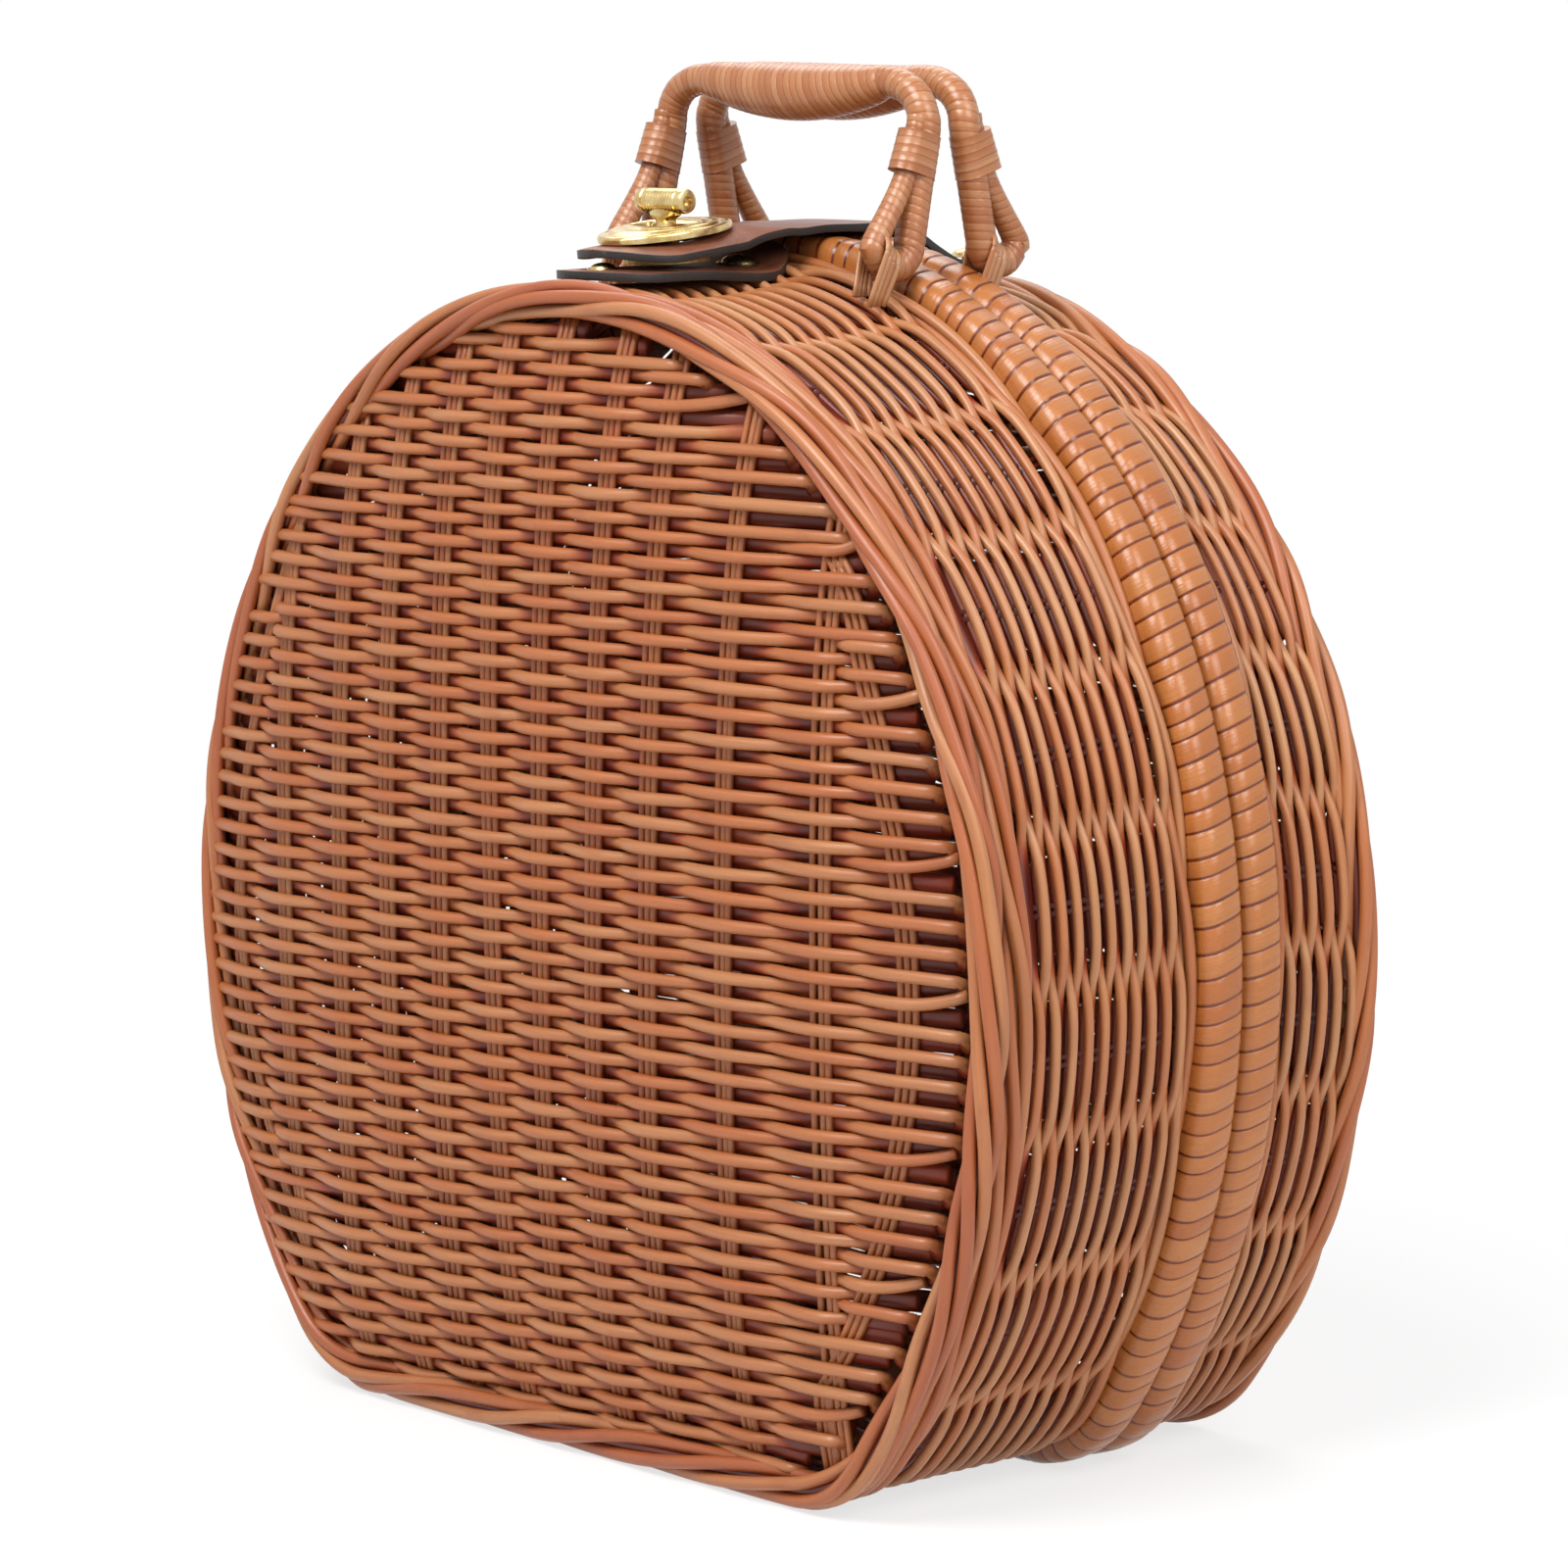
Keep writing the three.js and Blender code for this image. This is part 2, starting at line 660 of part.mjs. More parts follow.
const lathe = (points, sides) => {
  const profile = points.map(([r, z]) => new THREE.Vector2(r, z));
  return new THREE.LatheGeometry(profile, sides).rotateX(Math.PI / 2);
};

// A domed rivet head with its shank through a band; its origin is on the band's top face.
function rivetGeometry(bandThickness) {
  const bevel = rivetHeadHeight / 2;
  return lathe([
    [0, -bandThickness],
    [rivetShankRadius, -bandThickness],
    [rivetShankRadius, clearance],
    [rivetHeadRadius, clearance],
    [rivetHeadRadius, clearance + bevel],
    [rivetHeadRadius - bevel, clearance + rivetHeadHeight],
    [0, clearance + rivetHeadHeight],
  ], 16);
}

const rivetHole = (bandThickness) =>
  new THREE.CylinderGeometry(
    rivetShankRadius + clearance,
    rivetShankRadius + clearance,
    4 * bandThickness,
    16,
  ).rotateX(Math.PI / 2);

function addPatch() {
  const halfWidth = patchWidth / 2;
  const half = patchLength / 2;
  const path = [
    ...roundEnd(-half, halfWidth, -1),
    ...roundEnd(half, halfWidth, 1).reverse(),
  ];
  path.sort((a, b) => a[0] - b[0]);
  const loops = path.map(([along, width]) => [
    [-width, -along, -patchThickness],
    [width, -along, -patchThickness],
    [width, -along, 0],
    [-width, -along, 0],
  ]);
  const rivets = [["front", -1], ["rear", 1]];
  const holes = rivets.map(([, end]) => rivetHole(patchThickness).translate(0, (end * rivetSpacing) / 2, 0));
  addPiece("clasp_patch", cut(loftGeometry(loops, false), ...holes), leather, lock);
  for (const [word, end] of rivets) {
    const rivet = addPiece("patch_rivet_" + word, rivetGeometry(patchThickness), brass, lock);
    rivet.position.y = (end * rivetSpacing) / 2;
  }
}

const slotLength = barrelLength + 2 * slotClearance;
const slotWidth = 2 * barrelRadius + 2 * slotClearance;
const plateLow = lockSeatHeight + clearance + strapThickness + clearance;

function addLock() {
  const boreRadius = stemRadius + clearance;
  addPiece("lock_base", lathe([
    [0, clearance],
    [lockFootRadius, clearance],
    [lockFootRadius, lockFootThickness],
    [lockSeatRadius, lockFootThickness],
    [lockSeatRadius, lockSeatHeight],
    [bossRadius, lockSeatHeight],
    [bossRadius, bossHeight],
    [boreRadius, bossHeight],
    [boreRadius, bossHeight - stemLength - clearance],
    [0, bossHeight - stemLength - clearance],
  ], 24), brass, lock);

  const knobLow = bossHeight + clearance;
  const neck = lathe([
    [0, bossHeight - stemLength],
    [stemRadius, bossHeight - stemLength],
    [stemRadius, knobLow],
    [neckRadius, knobLow],
    [neckRadius, barrelHeight],
    [0, barrelHeight],
  ], 16);
  const barrel = new THREE.CylinderGeometry(barrelRadius, barrelRadius, barrelLength, 20);
  barrel.rotateZ(Math.PI / 2).translate(0, 0, barrelHeight);
  addPiece("turn_knob", join(neck, barrel), brass, lock);

  const oval = new THREE.Shape();
  oval.absellipse(0, 0, plateWidth / 2, plateLength / 2, 0, 2 * Math.PI);
  const slot = new THREE.Path();
  slot.moveTo(-slotLength / 2, -slotWidth / 2);
  slot.lineTo(slotLength / 2, -slotWidth / 2);
  slot.lineTo(slotLength / 2, slotWidth / 2);
  slot.lineTo(-slotLength / 2, slotWidth / 2);
  slot.closePath();
  oval.holes.push(slot);
  const options = { depth: plateThickness, bevelEnabled: false, curveSegments: 32 };
  const plate = new THREE.ExtrudeGeometry(oval, options).translate(0, 0, plateLow);
  addPiece("strap_plate", plate, brass, lock);
}

// The strap lies over the rims, then runs straight above the patch; its tail is fixed to the lid.
function addStrap() {
  const halfWidth = strapWidth / 2;
  const straightFrom = lockDepth - plateLength / 2;
  const lowAt = (d) => strapLow - (d - lockDepth) * Math.tan(patchTilt);
  const flapPath = [
    [clearance - strapSplit, strapOverRim, halfWidth],
    [rimWidth, strapOverRim, halfWidth],
    [straightFrom, lowAt(straightFrom), halfWidth],
    ...roundEnd(strapTipDepth, halfWidth, 1).reverse().map(([d, w]) => [d, lowAt(d), w]),
  ];
  flapPath.sort((a, b) => a[0] - b[0]);
  const opening = new THREE.BoxGeometry(
    slotLength + 2 * slotClearance,
    slotWidth + 2 * slotClearance,
    8 * strapThickness,
  );
  opening.rotateX(patchTilt).translate(0, atDepth(base, lockDepth), strapLow);
  addPiece("strap_flap", cut(bandGeometry(flapPath, strapThickness), opening), leather);

  const borderLow = borderTop + clearance;
  const borderNear = lidDepth - borderWidth + borderChamfer;
  const dropDepth = (strapSplit + borderNear) / 2;
  const dropLow = wallHeight(lid, 0, dropDepth) + strapThickness;
  const anchorPath = [
    [-anchorReach, borderLow, halfWidth],
    [-borderNear, borderLow, halfWidth],
    [-dropDepth, dropLow, halfWidth],
    [-strapSplit - clearance, strapOverRim, halfWidth],
  ];
  const places = hands.map(([, hand]) => [hand * anchorRivetX, atDepth(lid, anchorRivetDepth), borderLow]);
  const holes = places.map((place) => rivetHole(strapThickness).translate(...place));
  addPiece("strap_anchor", cut(bandGeometry(anchorPath, strapThickness), ...holes), leather);
  hands.forEach(([word], i) => {
    const rivet = addPiece("anchor_rivet_" + word, rivetGeometry(strapThickness), brass);
    rivet.position.set(places[i][0], places[i][1], borderLow + strapThickness);
  });
}

function rodAlongX(radius, x0, x1) {
  const rod = new THREE.CylinderGeometry(radius, radius, x1 - x0, 16).rotateZ(Math.PI / 2);
  return rod.translate((x0 + x1) / 2, seamY, hingeAxisHeight);
}

// A butt hinge: the base leaf has the two outer knuckles, the lid leaf the middle one.
function addHinge(word, hand) {
  const centre = hand * hingeX;
  const end = hingeLength / 2;
  const middle = middleKnuckle / 2;
  const outerFrom = middle + clearance;
  const spans = {
    base: [[centre - end, centre - outerFrom], [centre + outerFrom, centre + end]],
    lid: [[centre - middle, centre + middle]],
  };
  const bore = rodAlongX(hingePinRadius + clearance, centre - hingeLength, centre + hingeLength);
  const leafTop = leafLow + leafThickness;
  for (const half of halves) {
    const inner = atDepth(half, knuckleRadius + clearance);
    const outer = atDepth(half, leafWidth);
    const plate = boxGeometry(centre - end, centre + end, inner, outer, leafLow, leafTop);
    const tabs = spans[half.name].map(([x0, x1]) =>
      boxGeometry(x0, x1, seamY, atDepth(half, knuckleRadius + 2 * clearance), leafLow, leafTop));
    const knuckles = spans[half.name].map(([x0, x1]) => rodAlongX(knuckleRadius, x0, x1));
    const whole = join(plate, ...tabs, ...knuckles);
    const nails = [-1, 1].map((n) => [centre + (n * nailSpacing) / 2, atDepth(half, nailDepth)]);
    const holes = nails.map(([x, y]) => {
      const radius = nailShankRadius + clearance;
      const hole = new THREE.CylinderGeometry(radius, radius, 8 * leafThickness, 12);
      return hole.rotateX(Math.PI / 2).translate(x, y, leafLow);
    });
    addPiece("hinge_" + half.name + "_leaf_" + word, cut(whole, bore, ...holes), brass);
    nails.forEach(([x, y], i) => {
      const nail = lathe([
        [0, -clearance - nailHeadHeight],
        [nailHeadRadius, -clearance - nailHeadHeight],
        [nailHeadRadius, -clearance],
        [nailShankRadius, -clearance],
        [nailShankRadius, leafThickness],
        [0, leafThickness],
      ], 12);
      const mesh = addPiece("hinge_" + half.name + "_nail_" + word + "_" + (i + 1), nail, brass);
      mesh.position.set(x, y, leafLow);
    });
  }
  addPiece("hinge_pin_" + word, rodAlongX(hingePinRadius, centre - end, centre + end), brass);
}

for (const half of halves) {
  addShell(half);
  addHandle(half);
}
addPatch();
addLock();
addStrap();
for (const [word, hand] of hands) addHinge(word, hand);

export default basket;
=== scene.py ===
import json
from math import atan2, cos, pi, radians, sin, sqrt, tan, tanh
import bpy
import numpy as np
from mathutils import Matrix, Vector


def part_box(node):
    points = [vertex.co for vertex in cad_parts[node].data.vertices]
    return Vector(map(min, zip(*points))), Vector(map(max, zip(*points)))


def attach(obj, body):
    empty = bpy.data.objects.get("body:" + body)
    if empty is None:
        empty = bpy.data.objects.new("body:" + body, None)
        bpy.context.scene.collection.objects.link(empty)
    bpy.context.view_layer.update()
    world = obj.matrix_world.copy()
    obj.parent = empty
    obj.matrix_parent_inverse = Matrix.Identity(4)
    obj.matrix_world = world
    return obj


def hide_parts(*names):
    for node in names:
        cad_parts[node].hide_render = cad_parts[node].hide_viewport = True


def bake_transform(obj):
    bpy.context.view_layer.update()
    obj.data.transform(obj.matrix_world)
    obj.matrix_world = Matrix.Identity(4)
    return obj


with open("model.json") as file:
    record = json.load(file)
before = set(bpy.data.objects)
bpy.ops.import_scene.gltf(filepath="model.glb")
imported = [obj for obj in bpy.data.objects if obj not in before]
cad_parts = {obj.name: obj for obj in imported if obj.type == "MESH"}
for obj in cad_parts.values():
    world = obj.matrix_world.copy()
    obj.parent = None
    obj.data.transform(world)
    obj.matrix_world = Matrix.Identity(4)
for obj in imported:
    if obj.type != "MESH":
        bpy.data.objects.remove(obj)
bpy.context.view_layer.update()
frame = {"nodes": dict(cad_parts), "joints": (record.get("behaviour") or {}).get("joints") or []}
print("frame loaded:", len(frame["nodes"]), "nodes")

# the case, in mm, as in the solids: an ellipse cut flat at the bottom, with rounded lower corners
mm = 0.001
case = dict(widest=127, halfWidth=150, top=292, corner=36, rimFlare=2, rimRise=11, rimProudSide=4.4, rimProudTop=3.5,
            rimWidth=13.5, borderWidth=13, borderProud=0.8, shoulder=3.5)
joints = {joint["name"]: joint for joint in frame["joints"]}
seamY = joints["lid_hinge"]["pos_m"][1] / mm
halves = dict(base=dict(side=-1, depth=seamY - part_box("base_border")[0].y / mm),
              lid=dict(side=1, depth=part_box("lid_border")[1].y / mm - seamY))
hands = dict(left=-1, right=1)


def insetEdge(edge, t):
    return edge + np.array([-t, -t, t, -t])


# an edge is a half width, a top, a bottom and a corner radius
borderEdge = np.array([case["halfWidth"], case["top"], 0, case["corner"]], float)
rimEdge = borderEdge + [case["rimFlare"], case["rimRise"], 0, 0]
wallAtBorder = insetEdge(borderEdge, case["borderProud"])
wallAtRim = insetEdge(rimEdge, case["rimProudSide"])
wallAtRim[1] = rimEdge[1] - case["rimProudTop"]


# edge of the wall at a depth from the seam; it falls away from a shoulder beside the rim
def wallEdge(half, d):
    share = np.clip((d - case["rimWidth"]) / (half["depth"] - case["borderWidth"] - case["rimWidth"]), 0, 1)
    return wallAtBorder + (wallAtRim - wallAtBorder) * (1 - share) ** case["shoulder"]


def unit(a):
    return a / np.maximum(np.linalg.norm(a, axis=-1, keepdims=True), 1e-9)


def fullTurn(count):
    return np.linspace(0, 2 * pi, count, endpoint=False)


# distance along a path at each of its points
def walked(path):
    return np.concatenate([[0], np.cumsum(np.linalg.norm(np.diff(path, axis=0), axis=1))])


def between(at, knots, values):
    return np.stack([np.interp(at, knots, column) for column in values.T], 1)


# points at a depth from the seam, on the side of one half
def inCase(half, x, depth, z):
    return np.stack([x, seamY + half["side"] * depth, z], -1)


# closed outline as evenly spaced points with outward normals, from the middle of the bottom towards +X
def outlineCurve(edge, count=1600):
    halfWidth, top, bottom, corner = edge
    rise = top - case["widest"]
    onEllipse = lambda t: np.array([halfWidth * np.cos(t), case["widest"] + rise * np.sin(t)])
    normalAngle = lambda t: np.arctan2(np.sin(t) / rise, np.cos(t) / halfWidth)
    low, high = -pi / 2, 0.0
    for n in range(50):  # where the corner meets the ellipse
        middle = (low + high) / 2
        if onEllipse(middle)[1] - corner * np.sin(normalAngle(middle)) > bottom + corner:
            high = middle
        else:
            low = middle
    start = normalAngle(high)
    centreX = onEllipse(high)[0] - corner * np.cos(start)
    bend = np.linspace(-pi / 2, start, 60)
    arc = np.stack([centreX + corner * np.cos(bend), bottom + corner + corner * np.sin(bend)], 1)
    over = onEllipse(np.linspace(high, pi - high, 500)).T
    foot = np.array([[0.0, bottom]])
    points = np.concatenate([foot, arc, over[1:-1], arc[::-1] * [-1, 1], foot])
    walk = walked(points)
    even = between(np.linspace(0, walk[-1], count, endpoint=False), walk, points)
    along = unit(np.roll(even, -1, 0) - np.roll(even, 1, 0))
    return dict(points=even, normals=along[:, ::-1] * [1, -1], length=walk[-1])


# point and normal of a closed outline at any distance along it
def outlineAt(curve, s):
    count = len(curve["points"])
    at = np.mod(np.asarray(s, float) / curve["length"], 1) * count
    low = np.floor(at).astype(int) % count
    share = (at - np.floor(at))[..., None]
    pick = lambda a: a[low] * (1 - share) + a[(low + 1) % count] * share
    return pick(curve["points"]), pick(curve["normals"])


# half width of an outline at a height
def halfWidthAt(edge):
    side = outlineCurve(edge)
    points = side["points"]
    right = points[(points[:, 0] > 0) & (side["normals"][:, 0] > 0.02)]
    right = right[np.argsort(right[:, 1])]
    return lambda z: np.interp(z, right[:, 1], right[:, 0])


# mesh making: a bundle gathers skins, each a grid of loops, and becomes one piece
def newBundle(seed):
    return dict(points=[], faces=[], grain=[], tone=[], mats=[], count=0, rng=np.random.default_rng(seed))


def addSkin(bundle, grid, grain=None, tone=0.5, closedAlong=False, capMat=0):
    loops, sides = grid.shape[:2]
    first = bundle["count"]
    i = np.arange(loops if closedAlong else loops - 1)[:, None]
    j = np.arange(sides)[None]
    a, b, k = first + i * sides, first + (i + 1) % loops * sides, (j + 1) % sides
    quads = np.stack([a + j, a + k, b + k, b + j], 2).reshape(-1, 4)
    bundle["faces"] += quads.tolist()
    bundle["mats"] += [0] * len(quads)
    if not closedAlong:
        cap = first + np.arange(sides)
        bundle["faces"] += [cap[::-1].tolist(), (cap + (loops - 1) * sides).tolist()]
        bundle["mats"] += [capMat] * 2
    bundle["points"].append(grid.reshape(-1, 3))
    bundle["grain"].append((grid if grain is None else grain).reshape(-1, 3))
    bundle["tone"].append(np.broadcast_to(tone, (loops, sides)).reshape(-1))
    bundle["count"] += loops * sides


# a rod along a path; across is the direction of the first axis of its section
def addRod(bundle, path, radius, across, sides=8, tone=0.5, closedAlong=False, flat=1.0):
    along = unit(np.roll(path, -1, 0) - np.roll(path, 1, 0) if closedAlong else np.gradient(path, axis=0))
    across = np.broadcast_to(np.asarray(across, float), path.shape)
    across = unit(across - (across * along).sum(1, keepdims=True) * along)
    up = np.cross(along, across)
    turn = 2 * pi * (np.arange(sides) + 0.5) / sides
    radius, flat = (np.broadcast_to(v, len(path))[:, None, None] for v in (radius, flat))
    ring = np.cos(turn)[None, :, None] * across[:, None] + flat * np.sin(turn)[None, :, None] * up[:, None]
    grid = path[:, None] + radius * ring
    grain = np.empty(grid.shape)
    grain[..., 0] = walked(path)[:, None] + bundle["rng"].uniform(0, 900)
    grain[..., 1] = radius[..., 0] * np.cos(turn)
    grain[..., 2] = radius[..., 0] * np.sin(turn)
    addSkin(bundle, grid, grain, tone, closedAlong)


# a woven rod: thicker at the stakes, flatter where it runs under them, and darker there with painted shade
def addWoven(bundle, path, weave, over, squeeze, across, closedAlong=False):
    rng = bundle["rng"]
    radius = (weave["rodRadius"] + weave["swell"] * squeeze) * rng.uniform(0.95, 1.05)
    under = np.minimum(over, 0)
    # painted shade: the tone drops where the rod runs under a stake
    tone = np.maximum(rng.uniform(*weave["tones"]) + weave["underShade"] * under, weave["darkest"])
    addRod(bundle, path, radius, across, 8, tone[:, None], closedAlong, 1 - weave["underFlat"] * under)


# a smooth line through points
def smoothLine(points, steps=8):
    p = np.asarray(points, float)
    p = np.concatenate([[2 * p[0] - p[1]], p, [2 * p[-1] - p[-2]]])
    t = np.linspace(0, 1, steps, endpoint=False)[:, None]
    runs = []
    for a, b, c, d in zip(p[:-3], p[1:-2], p[2:-1], p[3:]):
        runs.append(0.5 * (2 * b + (c - a) * t + (2 * a - 5 * b + 4 * c - d) * t**2 + (3 * b - a - 3 * c + d) * t**3))
    return np.concatenate(runs + [p[-2:-1]])


# a wrapped rod: tilted turns of strip, each with a rounded back and a groove beside it
wrap = dict(step=0.4, shares=[0.0, 0.13, 0.5, 0.87], backs=[-1.0, 0.6, 1.0, 0.6], tones=(0.35, 0.75), grooveTone=0.12)


def addWrapped(bundle, path, section, radiusAt, pitch, ridge, tilt, start=(1, 0, 0), capMat=0):
    walk = walked(path)
    path = between(np.linspace(0, walk[-1], max(int(round(walk[-1] / wrap["step"])), 1) + 1), walk, path)
    along = unit(np.gradient(path, axis=0))
    across = np.empty_like(path)
    side = np.cross(np.asarray(start, float), along[0])
    for n, t in enumerate(along):
        side = unit(side - side.dot(t) * t)
        across[n] = side
    up = np.cross(along, across)
    length = wrap["step"] * (len(path) - 1)
    turns = max(int(round(length / pitch)), 1)
    strip = len(wrap["shares"])
    at = ((np.arange(turns)[:, None] + np.array(wrap["shares"])) * length / turns).reshape(-1)
    lift = np.tile(wrap["backs"], turns) * ridge
    tone = np.repeat(bundle["rng"].uniform(*wrap["tones"], turns), strip)
    tone[::strip] = wrap["grooveTone"]
    at, lift, tone = np.append(at, length), np.append(lift, -ridge), np.append(tone, tone[-1])
    place = at / length * (len(path) - 1)
    centre, across, up, along = (between(place, np.arange(len(path)), a) for a in (path, across, up, along))
    across, up, along = unit(across), unit(up), unit(along)
    normal = unit(np.roll(section, -1, 0) - np.roll(section, 1, 0))[:, ::-1] * [1, -1]
    radius = np.array([np.broadcast_to(radiusAt(v), 2) for v in at / length])
    shape = section[None] * radius[:, None, :] + normal[None] * lift[:, None, None]
    ease = np.clip(np.minimum(at, length - at) / (2 * pitch), 0, 1)  # the end turns lie square
    lean = tilt * ease[:, None] * shape[..., 0] / np.abs(section[:, 0]).max()
    grid = centre[:, None] + shape[..., :1] * across[:, None] + shape[..., 1:] * up[:, None]
    grid = grid + lean[..., None] * along[:, None]
    grain = np.zeros(grid.shape)
    girth = np.cumsum(np.linalg.norm(np.roll(section, -1, 0) - section, axis=1))
    grain[..., 0] = girth[None] * radius[:, :1] + 37 * np.floor(at / length * turns)[:, None]
    grain[..., 1] = at[:, None]
    addSkin(bundle, grid, grain, tone[:, None], capMat=capMat)


def addToScene(name, data):
    item = bpy.data.objects.new(name, data)
    bpy.context.scene.collection.objects.link(item)
    return item


def newPiece(name, points, faces, mats, materials):
    mesh = bpy.data.meshes.new(name)
    mesh.from_pydata((points * mm).tolist(), [], faces)
    for material in materials:
        mesh.materials.append(material)
    mesh.polygons.foreach_set("material_index", np.array(mats, np.int32))
    mesh.polygons.foreach_set("use_smooth", np.ones(len(mesh.polygons), bool))
    return addToScene(name, mesh)


def settle(piece, body, slot, *nodes):
    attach(piece, body)
    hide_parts(*nodes)
    print("made", piece.name, len(piece.data.polygons), "faces")


def finishBundle(bundle, name, materials, body, slot, *nodes, sharp=None):
    piece = newPiece(name, np.concatenate(bundle["points"]), bundle["faces"], bundle["mats"], materials)
    mesh = piece.data
    grain = mesh.attributes.new("grain", "FLOAT_VECTOR", "POINT")
    grain.data.foreach_set("vector", np.concatenate(bundle["grain"]).astype(np.float32).ravel())
    tone = mesh.attributes.new("tone", "FLOAT", "POINT")
    tone.data.foreach_set("value", np.concatenate(bundle["tone"]).astype(np.float32))
    if sharp:
        mesh.set_sharp_from_angle(angle=radians(sharp))
    mesh.update()
    settle(piece, body, slot, *nodes)


# materials
def srgb(r, g, b):
    linear = [c / 255 / 12.92 if c < 10 else ((c / 255 + 0.055) / 1.055) ** 2.4 for c in (r, g, b)]
    return (*linear, 1)


def startMaterial(name):
    material = bpy.data.materials.new(name)
    material.use_nodes = True
    return material, material.node_tree, material.node_tree.nodes["Principled BSDF"]


# inputs by name or number: a value, or the output of another node
def setInputs(tree, node, inputs):
    for key, value in inputs.items():
        if hasattr(value, "is_linked"):
            tree.links.new(value, node.inputs[key])
        else:
            node.inputs[key].default_value = value


def addNode(tree, kind, inputs={}, **settings):
    node = tree.nodes.new(kind)
    for key, value in settings.items():
        setattr(node, key, value)
    setInputs(tree, node, inputs)
    return node


def addMath(tree, operation, *inputs):
    return addNode(tree, "ShaderNodeMath", dict(enumerate(inputs)), operation=operation).outputs[0]


def objectPlace(tree):
    return addNode(tree, "ShaderNodeTexCoord").outputs["Object"]


def noise(tree, place, stretch, detail):
    scaled = addNode(tree, "ShaderNodeVectorMath", {0: place, 1: stretch}, operation="MULTIPLY").outputs[0]
    return addNode(tree, "ShaderNodeTexNoise", {"Vector": scaled, "Scale": 1.0, "Detail": detail,
                                                "Roughness": 0.6}).outputs["Fac"]


def ramp(tree, source, *stops):
    node = addNode(tree, "ShaderNodeValToRGB", {"Fac": source})
    elements = node.color_ramp.elements
    while len(elements) < len(stops):
        elements.new(0.5)
    for element, (place, colour) in zip(elements, stops):
        element.position = place
        element.color = colour
    return node.outputs["Color"]


def greyRamp(tree, source, low, high):
    return ramp(tree, source, (low, (0, 0, 0, 1)), (high, (1, 1, 1, 1)))


def mixColour(tree, factor, a, b):
    return addNode(tree, "ShaderNodeMix", {"Factor": factor, 6: a, 7: b}, data_type="RGBA").outputs[2]


def spread(tree, source, limits):
    return addNode(tree, "ShaderNodeMapRange", {"Value": source, "To Min": limits[0], "To Max": limits[1]}).outputs[0]


def addBump(tree, height, strength, distance):
    return addNode(tree, "ShaderNodeBump", {"Height": height, "Strength": strength, "Distance": distance}).outputs[0]


# a rod or strip of cane: tone by rod, carrying painted shade on the weave, streaks along it, dark blotches
def caneMaterial(name, finish):
    material, tree, shader = startMaterial(name)
    tone = addNode(tree, "ShaderNodeAttribute", attribute_name="tone").outputs["Fac"]
    grain = addNode(tree, "ShaderNodeAttribute", attribute_name="grain").outputs["Vector"]
    body = ramp(tree, tone, (0.0, finish["joint"]), (0.2, finish["deep"]), (0.5, finish["mid"]), (1.0, finish["pale"]))
    streak = noise(tree, grain, finish["streak"], 4.0)
    streaked = mixColour(tree, greyRamp(tree, streak, 0.38, 0.66), body, finish["streakColour"])
    soft = mixColour(tree, finish["streakShare"], body, streaked)
    blotch = greyRamp(tree, noise(tree, grain, finish["blotch"], 3.0), 0.56, 0.74)
    blotched = mixColour(tree, blotch, soft, finish["blotchColour"])
    setInputs(tree, shader, {"Base Color": mixColour(tree, finish["blotchShare"], soft, blotched),
                             "Roughness": spread(tree, streak, finish["rough"]),
                             "Normal": addBump(tree, streak, finish["bump"], 0.0004),
                             "Specular IOR Level": finish["gloss"]})
    return material


# on the weave the joint and deep colours are painted shade, reached where rods run under stakes, on the wall stakes and
# on the border core
weaveFinish = dict(joint=srgb(70, 4, 0), deep=srgb(134, 42, 14), mid=srgb(164, 95, 49), pale=srgb(174, 127, 84),
                   streak=(0.03, 0.8, 0.8), streakColour=srgb(140, 68, 34), streakShare=0.35, blotch=(0.05, 0.16, 0.16),
                   blotchColour=srgb(124, 52, 26), blotchShare=0.35, rough=(0.34, 0.52), bump=0.35, gloss=0.6)
peelFinish = dict(joint=srgb(64, 8, 0), deep=srgb(136, 62, 20), mid=srgb(165, 99, 46), pale=srgb(180, 124, 72),
                  streak=(0.04, 1.6, 1.6), streakColour=srgb(154, 86, 38), streakShare=0.4, blotch=(0.09, 0.2, 0.2),
                  blotchColour=srgb(140, 72, 32), blotchShare=0.25, rough=(0.2, 0.38), bump=0.35, gloss=0.55)
wrapFinish = dict(joint=srgb(86, 32, 12), deep=srgb(140, 80, 42), mid=srgb(162, 106, 64), pale=srgb(178, 134, 96),
                  streak=(0.05, 1.4, 1.4), streakColour=srgb(150, 78, 40), streakShare=0.35, blotch=(0.09, 0.2, 0.2),
                  blotchColour=srgb(132, 64, 32), blotchShare=0.25, rough=(0.2, 0.38), bump=0.3, gloss=0.55)
weaveCane = caneMaterial("weaveCane", weaveFinish)
peelCane = caneMaterial("peelCane", peelFinish)
wrapCane = caneMaterial("wrapCane", wrapFinish)


# sawn end of a rod, with pores
def cutEndMaterial():
    material, tree, shader = startMaterial("cutCane")
    pores = noise(tree, objectPlace(tree), (1800, 1800, 1800), 2.0)
    colour = ramp(tree, pores, (0.4, srgb(120, 84, 50)), (0.6, srgb(206, 172, 118)))
    setInputs(tree, shader, {"Base Color": colour, "Roughness": 0.8})
    return material


cutCane = cutEndMaterial()


def leatherMaterial(name, deep, pale, rough, grainDepth):
    material, tree, shader = startMaterial(name)
    place = objectPlace(tree)
    cloud = noise(tree, place, (60, 60, 60), 4.0)
    cells = addNode(tree, "ShaderNodeTexVoronoi", {"Vector": place, "Scale": 1400.0}).outputs["Distance"]
    setInputs(tree, shader, {"Base Color": ramp(tree, cloud, (0.35, deep), (0.7, pale)),
                             "Roughness": spread(tree, cloud, rough),
                             "Normal": addBump(tree, cells, grainDepth, 0.0002)})
    return material


